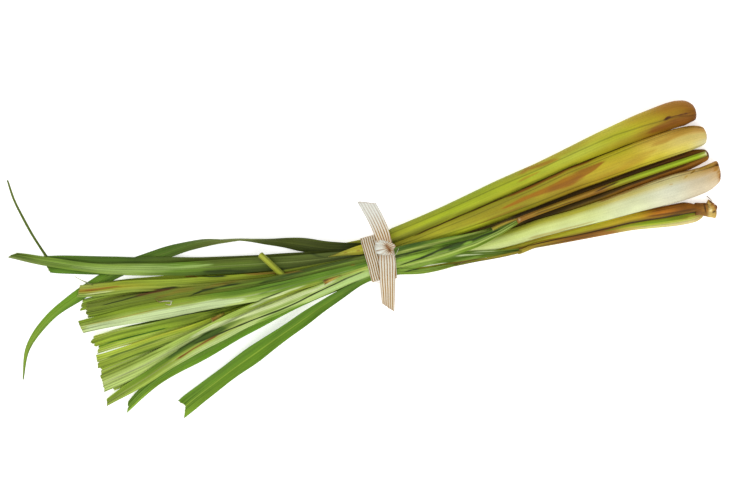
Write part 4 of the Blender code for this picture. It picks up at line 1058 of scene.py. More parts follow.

# marks that run on over neighbouring blades: painted shade in thin gaps, a painted highlight along one
# blade's top edge, midribs and rust
tornTan, leafShade, ribPale = (134, 108, 38), (44, 58, 18), (200, 212, 150)
bladeMarks = [
    (leafShade, 0.85, 0.5, [(-203.9, 21, 0.4), (-187.8, 20.4, 0.5), (-167.7, 20.2, 0.6),
        (-154.8, 20.1, 0.8), (-143.2, 18, 0.5)]),
    ((96, 62, 26), 0.8, 0.6, [(-178.8, 20.9, 0.7), (-162.9, 20, 1), (-147.2, 18.3, 0.6)]),
    (tornTan, 0.45, 0.8, [(-166.6, 15.5, 0.8), (-152.8, 15.5, 1.5), (-144.7, 15.6, 1.5),
        (-132.1, 14.4, 0.8)]),
    (tornTan, 0.5, 0.8, [(-132.1, 12.4, 0.5), (-116, 12.6, 1), (-100, 11, 0.6)]),
    ((140, 98, 34), 0.75, 0.6, [(-213.8, 35, 0.5), (-208.4, 33.8, 0.6), (-199.8, 32.6, 0.5),
        (-187.3, 30.7, 0.5), (-181.3, 29.1, 0.3)]),
    (ribPale, 0.8, 0.5, [(-213, 31.5, 0.5), (-201.2, 30.2, 0.5), (-188, 28.3, 0.3)]),
    (tornTan, 0.8, 0.6, [(-141.3, 24.6, 0.4), (-136, 23.4, 0.5), (-129.5, 20.9, 0.4)]),
    (leafShade, 0.9, 0.5, [(-132.2, 22.5, 0.4), (-122.6, 19.4, 0.5), (-109, 16.1, 0.4)]),
    (leafShade, 0.9, 0.5, [(-142.3, 10.1, 0.4), (-129.8, 11.3, 0.7), (-110.8, 9.8, 0.6),
        (-100, 8.6, 0.3)]),
    ((150, 136, 44), 0.7, 0.5, [(-219.3, 10.9, 0.3), (-187.1, 8.8, 0.35), (-155.2, 7.3, 0.3),
        (-135.4, 5.7, 0.2)]),
    (leafShade, 0.85, 0.4, [(-194.7, 2.3, 0.3), (-173.4, 0.4, 0.5), (-149.6, -1.2, 0.5),
        (-129.9, -3.2, 0.5), (-114.9, -4.4, 0.3)]),
    ((140, 162, 52), 0.7, 0.8, [(-150, -7.4, 0.8), (-138, -6.6, 1.4), (-126, -6.8, 1.4),
        (-112, -6.8, 0.9)]),
    ((66, 104, 30), 0.85, 0.5, [(-208.2, -5.3, 0.6), (-189.7, -5.9, 0.7), (-170.5, -6.5, 0.6),
        (-159.3, -6.9, 0.3)]),
    (ribPale, 0.6, 0.5, [(-213.2, 2.6, 0.4), (-191.1, 0.6, 0.3), (-165.8, -1.4, 0.2)]),
    ((92, 116, 36), 0.8, 0.5, [(-210.4, -15.7, 0.5), (-189, -14.6, 0.6), (-165.1, -13, 0.5),
        (-148.6, -12, 0.3)]),
    ((100, 124, 40), 0.8, 0.5, [(-201.9, -20, 0.5), (-178.6, -18, 0.6), (-158, -16.6, 0.4)]),
    ((110, 130, 44), 0.7, 0.5, [(-205, -26.4, 0.4), (-182, -23, 0.5), (-160, -19.6, 0.4)]),
    ((170, 176, 60), 0.7, 0.6, [(-200, -11, 0.6), (-170, -10.4, 0.8), (-140, -9.6, 0.6)]),
    (leafShade, 0.95, 0.4, [(-148.2, -22.7, 0.5), (-98.9, -17.8, 0.6), (-82, -16.4, 0.5),
        (-70, -14.8, 0.5), (-60, -13, 0.5), (-50, -11, 0.5), (-40, -9.6, 0.5), (-30, -8, 0.5),
        (-15, -6.2, 0.4)]),
    ((62, 86, 26), 0.9, 0.5, [(-170, -28.4, 0.5), (-149.9, -21.9, 1), (-136.7, -19.2, 2.2),
        (-124, -18, 1.5), (-117.8, -18.4, 0.3)]),
    ((116, 74, 22), 0.85, 0.6, [(-164, -30.6, 0.5), (-158, -29, 0.9), (-148, -26, 0.5),
        (-138, -23.6, 0.6), (-126, -21, 0.4)]),
    ((172, 200, 136), 0.8, 0.5, [(-60, -14.4, 0.5), (-45, -12.8, 1.2), (-30, -10.4, 1.7),
        (-10, -8.6, 2.2)]),
    ((150, 166, 58), 0.75, 0.6, [(-96, -10.2, 0.7), (-75, -7.4, 1.2), (-60, -6.2, 1.4), (-46, -5.8, 1)]),
    ((202, 216, 168), 0.85, 0.5, [(-150, -18.6, 0.8), (-130, -14.4, 1.2), (-110, -13.8, 1.2),
        (-90, -12.4, 1.5), (-75, -10.8, 1.5), (-60, -9.6, 1.3), (-46, -8.2, 0.9), (-36, -7, 0.4)]),
    ((200, 214, 164), 0.85, 0.5, [(-104, -9, 0.4), (-90, -7.2, 0.8), (-80, -6.2, 0.8), (-70, -5, 0.6),
        (-58, -4.6, 0.3)]),
    ((120, 150, 50), 0.6, 0.6, [(-100, -16, 0.5), (-90, -15.2, 0.8), (-70, -13.2, 0.8),
        (-55, -10.8, 0.6)]),
    (leafShade, 0.8, 0.5, [(-100, -7.4, 0.3), (-90, -5.6, 0.5), (-72, -4, 0.4)]),
    ((178, 188, 96), 0.8, 0.5, [(-46, -4.4, 0.5), (-30, -5.2, 0.8), (-10, -4.6, 0.9)]),
    ((60, 84, 28), 0.8, 0.5, [(-96, 1.4, 0.4), (-60, 0.2, 0.5), (-40, -1.2, 0.6), (-12, -1.8, 0.5)]),
    ((88, 122, 32), 0.7, 0.8, [(-96, -1.6, 1), (-77, -1.8, 1.4), (-52, -2.2, 1.6), (-27, -2.4, 1.5),
        (-10, -2.4, 1.2)]),
    ((118, 152, 56), 0.7, 0.6, [(-104, -21.6, 0.8), (-90, -19.8, 1.2), (-75, -17.8, 1.2),
        (-60, -16.2, 0.8)]),
    ((148, 178, 84), 0.75, 0.7, [(4, -13, 0.9), (30, -13.5, 1.1), (52, -12.8, 0.7)]),
    ((144, 174, 82), 0.7, 0.7, [(12, -16.8, 0.7), (30, -18.3, 0.8), (50, -18.4, 0.9), (66, -19, 0.6)]),
    ((62, 84, 20), 0.85, 0.5, [(-206, 38.6, 0.6), (-198, 38.4, 1.6), (-188, 37.6, 2.2),
        (-178, 36.8, 0.7)]),
    ((150, 178, 106), 0.65, 1, [(-218, 53.6, 0.6), (-200, 47.4, 1.4), (-185, 42.6, 2.2),
        (-172, 38.8, 2.5), (-160, 35.8, 2.2), (-148, 33, 1.7), (-134, 30, 1.2), (-116, 26.8, 0.5)]),
    ((60, 88, 28), 0.8, 0.7, [(4, 1.6, 1.6), (30, 2, 1.6), (50, 1.2, 1.2), (62, 0.2, 0.8),
        (80, -1, 0.5)]),
    ((176, 196, 104), 0.85, 0.5, [(2, -0.8, 0.7), (30, -1.6, 0.8), (60, -2.4, 0.7), (77, -3.2, 0.4)]),
    (leafShade, 0.95, 0.5, [(2, -3, 0.9), (20, -3.4, 0.8), (36, -3.6, 0.4)]),
    ((136, 172, 60), 0.85, 0.6, [(4, -6.2, 1.7), (24, -5.8, 1.6), (42, -4.8, 0.9)]),
    (leafShade, 0.95, 0.5, [(4, -9.6, 0.4), (22, -8.9, 0.6), (36, -7.2, 0.9), (50, -6.4, 1.1),
        (62, -6.4, 0.7), (76, -5.2, 0.5), (85, -4.4, 0.3)]),
    ((56, 84, 26), 0.8, 0.6, [(41, -8.8, 0.6), (48, -7.8, 1.6), (54, -7.6, 0.8)]),
    ((130, 166, 66), 0.7, 0.7, [(53, -8, 0.5), (57, -7.6, 1), (61, -7.6, 0.5)]),
    # painted highlight along the collared blade's top edge
    ((176, 198, 108), 0.85, 0.4, [(3, -11.4, 0.8), (40, -11.2, 0.7), (62, -10.2, 0.6), (80, -7.4, 0.5),
        (95, -3.4, 0.4)]),
    (leafShade, 0.9, 0.5, [(6, -14.6, 0.4), (24, -15.6, 0.5), (42, -17.8, 0.5), (49, -19, 0.3)]),
    ((228, 234, 214), 0.85, 0.5, [(21, -15, 0.3), (28, -15.5, 0.6), (34, -16.3, 0.5), (40, -17, 0.2)]),
    ((208, 222, 182), 0.8, 0.6, [(45, -14, 0.4), (54, -15.4, 0.6), (67, -18.6, 0.3)]),
    ((200, 216, 170), 0.7, 0.6, [(56, -14.2, 0.2), (66, -16.4, 0.4), (77, -19.2, 0.2)]),
    (leafShade, 0.7, 0.7, [(-129.4, 24.6, 0.8), (-112.8, 21.1, 1), (-93.9, 14.4, 0.8)]),
    (tornTan, 0.8, 0.7, [(-102, 15.2, 0.5), (-88.3, 12, 0.8), (-74.8, 8.3, 0.8), (-62, 5.8, 0.5),
        (-55.2, 4.2, 0.3)]),
    ((100, 140, 40), 0.6, 0.9, [(-130.4, 8, 0.5), (-90.8, 3.2, 1), (-56.4, 0, 1.2), (-20.2, -1, 1)]),
    ((122, 156, 56), 0.6, 0.7, [(-123.1, 10.3, 0.3), (-90, 6, 0.4), (-55.4, 3.4, 0.4),
        (-17.4, 1.9, 0.4)]),
    ((52, 72, 20), 0.75, 0.7, [(-94.4, 5.2, 0.5), (-69.6, 5.2, 0.9), (-44.8, 4.6, 1), (-20, 3.9, 0.7)]),
    (tornTan, 0.8, 0.6, [(-26.2, 0, 0.5), (-22.2, -0.5, 0.5)]),
    (leafShade, 0.7, 0.6, [(-73.8, 11.8, 0.7), (-70.4, 7.2, 0.9)]),
    (leafShade, 0.6, 0.7, [(-51.5, 16.9, 0.8), (-46.5, 12.8, 0.8), (-39, 8.9, 0.5)]),
    ((196, 196, 130), 0.6, 0.5, [(-218, -9.9, 0.4), (-190, -9.8, 0.3)]),
]

# each leaf runs from the tie, or from its own collar, to its cut end; half is the half width and
# pleat the heights across it (lower edge, quarter, midrib, quarter, upper edge) against the share
# of the length; roll turns the section over, in degrees; cut moves the lower edge, midrib and
# upper edge of the far end along the blade; notches are (place across, width, depth)
# where a blade's low and high tones differ, that is partly its own colour and partly painted light and
# shade on its two folded halves
tied = (0.3, 0.1, 0, 0.1, 0.3)  # the heights across most leaves where they leave the tie
leaves = {
    "leaf_long_curl": {
        "route": [(-8, 8.6), (-22, 11.4), (-37, 15.6), (-55, 23.2), (-70, 29.6), (-97, 39.4),
            (-123, 44.4), (-152, 44), (-188, 40.4), (-215, 32.6), (-240, 22.6), (-260, 6.6), (-270, -13)],
        "half": [(0, 2.4), (0.08, 4.4), (0.18, 5.4), (0.28, 4.4), (0.42, 4.1), (0.62, 4.5), (0.75, 4.2),
            (0.88, 2.6), (0.96, 1.2), (1, 0.35)],
        "pleat": [(0, (0.4, 0.1, 0, 0.1, 0.4)), (0.3, (0.6, 0.2, 0, 0.2, 0.6)),
            (1, (0.5, 0.2, 0, 0.2, 0.5))],
        "roll": [(0, 0), (0.16, 12), (0.26, 60), (0.33, 88), (0.4, 125), (0.52, 180), (1, 180)],
        "cut": (0, 1, 0),
        "tones": ramps(
            [0, 0.2, 0.34, 0.5, 0.75, 1],
            [deep, (62, 72, 24), (96, 112, 40), (72, 100, 30), (104, 144, 40), (132, 160, 62)],
            [(56, 64, 22), (66, 76, 26), (100, 114, 44), (76, 106, 32), (110, 150, 42), (136, 164, 66)],
            [(62, 72, 24), (74, 84, 30), (104, 116, 48), (66, 88, 26), (98, 136, 38), (128, 156, 60)],
            rib=(112, 124, 60), ribStrength=0.3,
        ),
        "slot": "dark_blade",
    },
    "leaf_back_dark": {
        "route": [(-5, 5.2), (-24, 7), (-56, 13), (-94, 21.2), (-140, 33), (-196, 48.4), (-232, 59.8)],
        "half": [(0, 2.4), (0.08, 3.4), (0.16, 4.6), (0.3, 5.2), (0.55, 5.6), (0.8, 6.2), (1, 7.2)],
        "pleat": [(0, tied), (0.4, (0.5, 0.2, 0, 0.25, 0.6)),
            (1, (0.4, 0.2, 0, 0.3, 0.8))],
        "cut": (-4, 0, 1.5),
        "notches": [(-0.1, 0.1, 1.6), (0.55, 0.08, 1)],
        "tones": ramps(
            [0, 0.5, 0.8, 1],
            [(60, 70, 24), (96, 118, 36), (84, 120, 34), (92, 132, 36)],
            [(56, 66, 24), (92, 112, 34), (88, 116, 34), (86, 118, 32)],
            [(70, 80, 26), (84, 98, 32), (72, 102, 28), (78, 110, 30)],
            rib=(130, 146, 74), ribStrength=0.35,
        ),
        "slot": "dark_blade",
    },
    "leaf_yellow_top": {
        "route": [(-4, 5), (-34, 6.8), (-75, 10.6), (-113, 17), (-150, 25), (-178, 30.8), (-208, 37.6)],
        "lift": 1.08,
        "half": [(0, 2.4), (0.05, 2.6), (0.14, 3), (0.5, 4), (0.85, 2.8), (1, 1.2)],
        "pleat": [(0, tied), (0.5, (0.5, 0.1, 0, 0.4, 0.8)),
            (1, (0.2, 0.1, 0, 0.2, 0.4))],
        "cut": (0, 3, 1),
        "notches": [(0.3, 0.12, 2)],
        "tones": ramps(
            [0, 0.35, 0.6, 0.85, 1],
            [olive, (128, 146, 38), (156, 176, 52), (146, 158, 42), (140, 146, 56)],
            [olive, (136, 150, 38), (160, 180, 56), (150, 168, 52), (126, 140, 66)],
            [olive, (120, 136, 36), (142, 158, 44), (142, 160, 52), (118, 133, 60)],
            rib=(176, 190, 90),
        ),
        "slot": "yellow_blade",
    },
    "leaf_long_light": {
        "route": [(-3, 5.2), (-20, 6.2), (-46, 9.6), (-94, 19.4), (-142, 30.5), (-171, 38.4),
            (-196, 46.4), (-233, 62.3), (-252.5, 71.9)],
        "half": [(0, 2.4), (0.05, 2.8), (0.12, 4), (0.2, 4.9), (0.4, 5.2), (0.62, 4.2), (0.8, 3.4),
            (0.93, 3.1), (1, 2.9)],
        "pleat": [(0, tied), (0.3, (0.9, 0.3, 0, 0.3, 0.7)),
            (0.7, (0.3, 0.2, 0, 0.3, 0.8)), (1, (0.3, 0.1, 0, 0.2, 0.5))],
        "cut": (3.2, 0.6, -3.4),
        "tones": ramps(
            [0, 0.2, 0.42, 0.55, 0.7, 0.85, 1],
            [(56, 66, 22), (70, 84, 28), (60, 78, 24), (88, 116, 38), (140, 166, 84), (118, 148, 56),
                (150, 168, 96)],
            [(60, 70, 24), (78, 90, 34), (92, 116, 38), (118, 154, 56), (146, 174, 84), (124, 156, 66),
                (108, 136, 48)],
            [(64, 72, 26), (84, 98, 40), (84, 100, 32), (96, 130, 36), (130, 158, 70), (112, 142, 54),
                (112, 136, 44)],
            rib=(168, 186, 112), ribAt=0.05, ribStrength=0.3,
        ),
        "slot": "green_blade",
    },
    "leaf_dark_fan": {
        "route": [(-4, 0.8), (-30, 2), (-80, 5), (-120, 11), (-148, 17), (-186, 23.6), (-215.5, 24.6)],
        "lift": 1.06,
        "half": [(0, 2.4), (0.05, 2.6), (0.14, 3), (0.6, 4.3), (0.8, 4.6), (1, 4.4)],
        "pleat": [(0, tied), (0.5, (0.6, 0.2, 0, 0.2, 0.5)),
            (0.8, (0.2, 0.5, 0, 0.5, 0.2)), (1, (0.3, 0.6, 0, 0.6, 0.2))],
        "cut": (2, 0, -2),
        "notches": [(-0.4, 0.12, 1.5), (0.5, 0.1, 1)],
        "tones": ramps(
            [0, 0.5, 0.7, 0.85, 1],
            [olive, (100, 120, 36), (116, 118, 38), (134, 148, 48), (128, 152, 48)],
            [olive, (112, 124, 36), (104, 108, 36), (122, 138, 42), (122, 146, 42)],
            [olive, (136, 144, 38), (112, 122, 38), (114, 132, 44), (140, 168, 70)],
            rib=(150, 158, 80),
        ),
        "slot": "dark_blade",
    },
    "leaf_rust_edge": {
        "route": [(-2, 0.8), (-30, 2.6), (-80, 7.4), (-120, 14.6), (-153, 22.2), (-184, 29.6),
            (-216, 34.2)],
        "half": [(0, 2.4), (0.05, 2.6), (0.14, 3), (0.6, 4), (1, 4.2)],
        "pleat": [(0, tied), (0.5, (0.4, 0.1, 0, 0.3, 0.8)),
            (1, (0.7, 0.2, 0.2, 0.3, 0.5))],
        "cut": (0.5, -1.5, -3),
        "notches": [(-0.55, 0.1, 1.2)],
        "tones": ramps(
            [0, 0.5, 0.7, 0.86, 1],
            [olive, (104, 112, 32), (110, 118, 40), (150, 170, 74), (160, 186, 92)],
            [olive, (136, 150, 40), (140, 160, 52), (152, 152, 46), (154, 128, 36)],
            [olive, (140, 156, 42), (156, 176, 60), (142, 158, 46), (160, 170, 82)],
            rib=(170, 180, 84), ribAt=-0.25,
        ),
        "slot": "yellow_blade",
    },
    "leaf_narrow_fan": {
        "route": [(-2, -3.6), (-30, -4), (-90, -7.4), (-138, -9.6), (-160, -8.6), (-190, -7.6),
            (-213, -7)],
        "half": [(0, 2.4), (0.05, 2.6), (0.14, 2.8), (0.6, 3.4), (0.9, 3.2), (1, 3)],
        "lift": 1.15,
        "pleat": [(0, tied), (0.5, (0.6, 0.2, 0, 0.1, 0.2)),
            (1, (0.7, 0.2, 0, 0.3, 0.1))],
        "cut": (1, 0, -2),
        "notches": [(0.2, 0.16, 1.6)],
        "tones": ramps(
            [0, 0.4, 0.7, 1],
            [(150, 156, 50), (140, 160, 50), (150, 172, 62), (178, 198, 112)],
            [(150, 160, 52), (146, 164, 50), (154, 178, 64), (152, 174, 60)],
            [(120, 140, 40), (110, 130, 36), (126, 152, 44), (126, 158, 50)],
            rib=(190, 202, 120), ribStrength=0.5,
        ),
        "slot": "yellow_blade",
    },
    "leaf_split_fan": {
        "route": [(-4, -3.6), (-30, -3.6), (-60, -4), (-100, -4.6), (-137, -4.6), (-170, -2.4),
            (-189, -1.6), (-214, -0.8)],
        "half": [(0, 2.4), (0.05, 2.6), (0.14, 2.8), (0.6, 4), (1, 3.6)],
        "lift": 1.08,
        "pleat": [(0, tied), (0.5, (0.2, 0, 0.5, 0.3, 0.8)),
            (1, (0.1, 0.3, 0, 0.6, 0.3))],
        "cut": (-0.5, 2.6, -1),
        "notches": [(-0.45, 0.1, 2.2), (0.6, 0.12, 1.4)],
        "tones": ramps(
            [0, 0.35, 0.6, 0.8, 1],
            [(120, 116, 34), (126, 150, 40), (128, 146, 42), (140, 166, 52), (150, 172, 54)],
            [(130, 130, 40), (134, 158, 50), (118, 138, 42), (124, 148, 42), (146, 170, 56)],
            [(104, 130, 38), (136, 164, 60), (128, 144, 52), (140, 164, 66), (172, 190, 80)],
            rib=(96, 116, 34), ribAt=-0.05, ribStrength=0.6,
        ),
        "slot": "yellow_blade",
    },
    "leaf_low_fan": {
        "lift": 1.17,
        "route": [(-5, -7.6), (-30, -8), (-95, -12), (-140, -17), (-175, -19.3), (-194, -21.2),
            (-215, -22.4)],
        "half": [(0, 2.4), (0.05, 2.7), (0.14, 3.2), (0.6, 4.2), (1, 4)],
        "pleat": [(0, tied), (0.5, (0.6, 0.3, 0, 0.2, 0.5)),
            (1, (0.5, 0.2, 0, 0.3, 0.6))],
        "cut": (1, 0, -1),
        "notches": [(0.25, 0.1, 1.4)],
        "tones": ramps(
            [0, 0.3, 0.55, 0.8, 1],
            [(140, 160, 70), (178, 200, 124), (170, 194, 108), (146, 168, 76), (146, 168, 62)],
            [(130, 150, 60), (150, 172, 80), (164, 190, 94), (144, 168, 78), (146, 168, 64)],
            [(128, 140, 52), (130, 148, 52), (156, 180, 86), (148, 168, 64), (136, 158, 50)],
            rib=(196, 208, 140), ribStrength=0.5,
        ),
        "slot": "yellow_blade",
    },
    "leaf_mid_fan": {
        "route": [(-3, -7.6), (-30, -7.6), (-100, -10.2), (-150, -14.2), (-174, -14.4), (-192, -15),
            (-215.5, -17.2)],
        "half": [(0, 2.4), (0.05, 2.7), (0.14, 3.2), (0.6, 4.1), (1, 4.2)],
        "lift": 1.15,
        "pleat": [(0, tied), (0.5, (0.3, 0.2, 0, 0.4, 0.7)),
            (1, (0.1, 0.4, 0, 0.3, 0.6))],
        "cut": (1, 0, -1),
        "notches": [(-0.2, 0.1, 1.8)],
        "tones": ramps(
            [0, 0.3, 0.6, 0.85, 1],
            [(150, 172, 84), (176, 196, 118), (158, 180, 84), (140, 160, 58), (132, 152, 50)],
            [(156, 176, 84), (160, 182, 84), (158, 176, 84), (148, 166, 66), (140, 160, 60)],
            [(140, 150, 56), (140, 156, 50), (146, 162, 44), (158, 176, 56), (166, 186, 72)],
            rib=(184, 198, 120), ribStrength=0.4,
        ),
        "slot": "green_blade",
    },
    "leaf_short_fan": {
        "lift": 1.15,
        "route": [(-6, -11.2), (-30, -11.2), (-90, -15.4), (-141, -22.8), (-188, -32.4), (-210, -38)],
        "half": [(0, 2.2), (0.05, 2.4), (0.14, 2.6), (0.3, 3), (1, 2.8)],
        "pleat": [(0, tied), (1, (0.4, 0.1, 0, 0.1, 0.5))],
        "cut": (0, 0, -1),
        "tones": ramps(
            [0, 0.6, 0.85, 1],
            [(110, 136, 44), (88, 118, 34), (104, 140, 44), (170, 188, 96)],
            [(120, 146, 50), (84, 112, 34), (110, 144, 48), (158, 180, 66)],
            [(130, 150, 56), (82, 104, 32), (130, 156, 62), (160, 178, 70)],
            rib=(160, 176, 90),
        ),
        "slot": "yellow_blade",
    },
    "leaf_bright_fan": {
        "from": 0.308,
        "lift": 1.08,
        "route": [(221, -35), (206, -35.6), (190, -33), (163, -29), (128, -26), (106, -24), (91, -22.6),
            (75, -19.8), (57, -16.8), (35, -14), (4, -11.2), (-17, -10.6), (-67, -14.4), (-106, -22.6),
            (-145, -32), (-162, -35.8), (-180, -41), (-193, -46.6), (-203, -52.2)],
        "half": [(0.302, 1.3), (0.33, 1.9), (0.36, 2.6), (0.4, 3), (0.44, 2.8), (0.49, 2.4), (0.53, 2.6),
            (0.6, 3.6), (0.88, 4), (0.93, 3.4), (1, 3.6)],
        "pleat": [(0.302, (1.2, 0.3, 0, 0.3, 1.2)), (0.36, (0.9, 0.3, 0, 0.3, 0.9)),
            (0.5, tied), (0.6, (0.6, 0.2, 0, 0.2, 0.7)), (1, (0.5, 0.2, 0, 0.2, 0.6))],
        "cut": (4.5, 1, -2),
        "notches": [(-0.1, 0.12, 1.6)],
        "tones": ramps(
            [0.33, 0.4, 0.46, 0.56, 0.8, 1],
            [(110, 128, 40), (96, 128, 36), (120, 150, 52), (104, 140, 40), (100, 144, 38),
                (130, 164, 54)],
            [(90, 116, 34), (84, 112, 32), (112, 148, 48), (118, 152, 46), (94, 136, 36), (106, 148, 42)],
            [(104, 128, 40), (96, 124, 36), (128, 156, 60), (130, 160, 60), (84, 120, 34), (98, 132, 40)],
            rib=(150, 176, 92), ribStrength=0.4,
        ),
        "slot": "green_blade",
    },
    "leaf_pale_fan": {
        "route": [(-4, -6.4), (-30, -6.2), (-64, -8.2), (-102, -11.6), (-140, -18.6), (-164, -23.4),
            (-183, -27.4), (-215, -31.6)],
        "half": [(0, 2.4), (0.05, 2.6), (0.14, 3.4), (0.4, 4.4), (0.6, 4.8), (1, 5.7)],
        "pleat": [(0, tied), (0.5, (0.2, 0.4, 0, 0.3, 0.8)),
            (1, (0.2, 0.5, 0, 0.4, 0.8))],
        "cut": (2.4, 1, 0.6),
        "notches": [(0.4, 0.08, 1), (-0.6, 0.1, 0.8)],
        "lift": 1.06,
        "tones": ramps(
            [0, 0.2, 0.4, 0.7, 1],
            [(150, 170, 60), (184, 198, 110), (190, 208, 154), (170, 192, 104), (178, 200, 122)],
            [(150, 160, 50), (150, 156, 52), (158, 180, 80), (180, 202, 128), (180, 200, 120)],
            [(140, 140, 44), (136, 126, 38), (162, 186, 90), (160, 184, 92), (136, 156, 62)],
            rib=(204, 216, 164), ribStrength=0.5,
        ),
        "slot": "yellow_blade",
    },
    "leaf_lone_fan": {
        "route": [(49, -20), (38, -19.4), (22, -17.8), (4, -13.4), (-14, -12.4), (-38, -17.6),
            (-88, -34.6), (-127, -48.4), (-168, -63.8)],
        "half": [(0, 0.5), (0.08, 1.8), (0.18, 2.2), (0.24, 1.8), (0.32, 2), (0.42, 3.8), (0.6, 5.2),
            (0.9, 6), (1, 6.1)],
        "pleat": [(0, (0.2, 0.1, 0, 0.1, 0.2)), (0.3, tied),
            (0.42, (0.8, 0.3, 0, 0.3, 0.8)), (1, (1.4, 0.6, 0, 0.6, 1.5))],
        "cut": (3, -3.5, -1.5),
        "tones": ramps(
            [0, 0.2, 0.35, 0.7, 1],
            [(150, 170, 70), (120, 152, 50), (92, 130, 38), (96, 134, 34), (116, 152, 44)],
            [(140, 160, 60), (122, 156, 56), (94, 130, 38), (98, 136, 34), (104, 142, 40)],
            [(128, 150, 50), (116, 150, 44), (88, 124, 36), (92, 132, 32), (100, 140, 36)],
            rib=(150, 178, 66), ribStrength=0.85,
        ),
        "ribWidth": 0.07,
        "streaky": 0.45,
        "slot": "green_blade",
    },
    "leaf_olive_fan": {
        "from": 0.056,
        "route": [(98, -0.6), (86, -2.4), (74, -3.2), (58, -3.4), (40, -2.4), (22, -0.8), (5, 0.6),
            (-16, 1.2), (-50, 2.5), (-78, 3.6), (-110, 7.2), (-142, 12.4), (-182, 17.4), (-213, 18.6)],
        "half": [(0.056, 0.9), (0.075, 1.2), (0.12, 2), (0.18, 3), (0.27, 3), (0.37, 2.6), (0.5, 4),
            (0.85, 4.8), (1, 4.4)],
        "pleat": [(0, (0.6, 0.2, 0, 0.2, 0.6)), (0.12, (1.2, 0.4, 0, 0.4, 1.2)),
            (0.27, (0.4, 0.1, 0, 0.1, 0.4)), (0.36, (0.4, 0.1, 0, 0.1, 0.4)),
            (0.55, (0.7, 0.2, 0, 0.2, 0.7)), (1, (0.4, 0.6, 0, 0.5, 0.3))],
        "cut": (0, 1, -2),
        "notches": [(0.1, 0.14, 1.6), (-0.6, 0.1, 1)],
        "tones": ramps(
            [0, 0.06, 0.2, 0.4, 0.55, 0.75, 1],
            [(160, 110, 40), (120, 140, 44), (104, 142, 38), (112, 140, 46), (96, 126, 36),
                (118, 134, 40), (126, 150, 46)],
            [(160, 110, 40), (110, 140, 40), (92, 130, 34), (90, 110, 38), (76, 96, 28), (112, 124, 38),
                (116, 136, 42)],
            [(160, 110, 40), (136, 160, 52), (124, 156, 54), (86, 100, 38), (74, 92, 26), (108, 118, 40),
                (110, 126, 46)],
            rib=(128, 150, 62), ribStrength=0.5,
        ),
        "slot": "dark_blade",
    },
    "leaf_folded_fan": {
        "lift": 1.05,
        "route": [(66, -8.2), (44, -6.6), (22, -5), (6, -3.8), (-16, -3.4), (-50, -3), (-100, -0.6),
            (-134, 3.6), (-166, 6.8), (-201, 9.6), (-220, 11)],
        "half": [(0, 0.6), (0.08, 2.4), (0.2, 2.8), (0.3, 2.6), (0.45, 4.2), (0.75, 6.2), (0.9, 5.6),
            (1, 5)],
        "pleat": [(0, tied), (0.3, tied),
            (0.55, (0.2, 0.5, 0.9, 0.6, 0.6)), (0.75, (0.1, 0.8, 1.5, 0.9, 0.5)),
            (1, (0.1, 0.7, 1.3, 0.8, 0.5))],
        "cut": (-1, 0, 1),
        "marks": [
            # a pale band along the lower half: partly the blade's paler half and partly painted sheen
            ((190, 208, 166), 0.9, 0.25, [(-219, 8.2, 2.3), (-200, 6.2, 2.5), (-180, 4.3, 2.9),
                (-160, 2.7, 3.4), (-140, 0.9, 3.4), (-122, -0.4, 3), (-110, -1.8, 1.4),
                (-100, -2.4, 0.6)]),
        ],
        "notches": [(0, 0.08, 0.8)],
        "tones": ramps(
            [0, 0.2, 0.35, 0.48, 0.6, 0.75, 1],
            [(100, 134, 38), (130, 160, 60), (110, 136, 44), (116, 146, 50), (176, 196, 124),
                (188, 206, 150), (186, 204, 144)],
            [(96, 130, 36), (136, 166, 68), (100, 124, 36), (100, 132, 38), (140, 168, 72),
                (160, 182, 90), (158, 180, 84)],
            [(90, 124, 34), (96, 126, 38), (74, 98, 28), (78, 104, 30), (92, 126, 36), (126, 148, 44),
                (126, 150, 42)],
            rib=(206, 216, 170), ribAt=-0.02, ribStrength=0.5,
        ),
        "slot": "green_blade",
    },
    "leaf_collared_fan": {
        "from": 0.3085,
        "lift": 1.08,
        "route": [(233, 5.6), (186, 4.2), (158, 2.6), (128, 0.9), (97, -2), (79, -6), (64, -8.8),
            (40, -9.6), (5, -7.8), (-15, -8), (-46, -10.4), (-66, -12.4), (-120, -20.4), (-142, -24.6),
            (-166, -30.6), (-184, -36.2), (-200, -40.6), (-217, -46)],
        "half": [(0.297, 1.6), (0.33, 2.4), (0.38, 3.6), (0.44, 3.8), (0.48, 2.8), (0.54, 2.8),
            (0.62, 4.2), (0.85, 4.6), (0.95, 3.6), (1, 2.7)],
        "pleat": [(0.297, (1.6, 0.5, 0, 0.5, 1.6)), (0.4, (1.2, 0.4, 0, 0.4, 1.2)),
            (0.48, (0.4, 0.1, 0, 0.1, 0.4)), (0.54, (0.4, 0.1, 0, 0.1, 0.4)),
            (0.7, (0.2, 0.4, 0.6, 0.6, 0.8)), (1, (0.5, 0.2, 0, 0.3, 0.7))],
        "cut": (1.5, 0, -1.5),
        "tones": ramps(
            [0.31, 0.38, 0.46, 0.56, 0.68, 0.82, 0.92, 1],
            [(128, 150, 52), (120, 150, 46), (140, 168, 72), (160, 186, 100), (178, 200, 130),
                (184, 204, 140), (160, 184, 84), (160, 182, 84)],
            [(110, 138, 44), (96, 130, 36), (124, 152, 60), (168, 192, 116), (180, 202, 132),
                (150, 166, 72), (120, 144, 42), (134, 162, 56)],
            [(90, 116, 36), (78, 106, 32), (110, 138, 52), (150, 176, 92), (150, 172, 86), (72, 96, 28),
                (98, 130, 36), (140, 164, 56)],
            rib=(186, 200, 130), ribStrength=0.5,
        ),
        "slot": "green_blade",
    },
}


def acrossProfile(look, share, across):
    # heights over the midrib: smooth through five points across, read between stations along
    table = np.array([heights for _, heights in look["pleat"]], float)
    places = [place for place, _ in look["pleat"]]
    along = np.stack([np.interp(share, places, column) for column in table.T], axis=1)
    along = soften(along, 4)
    return throughKnots([-1, -0.5, 0, 0.5, 1], along.T, across).T


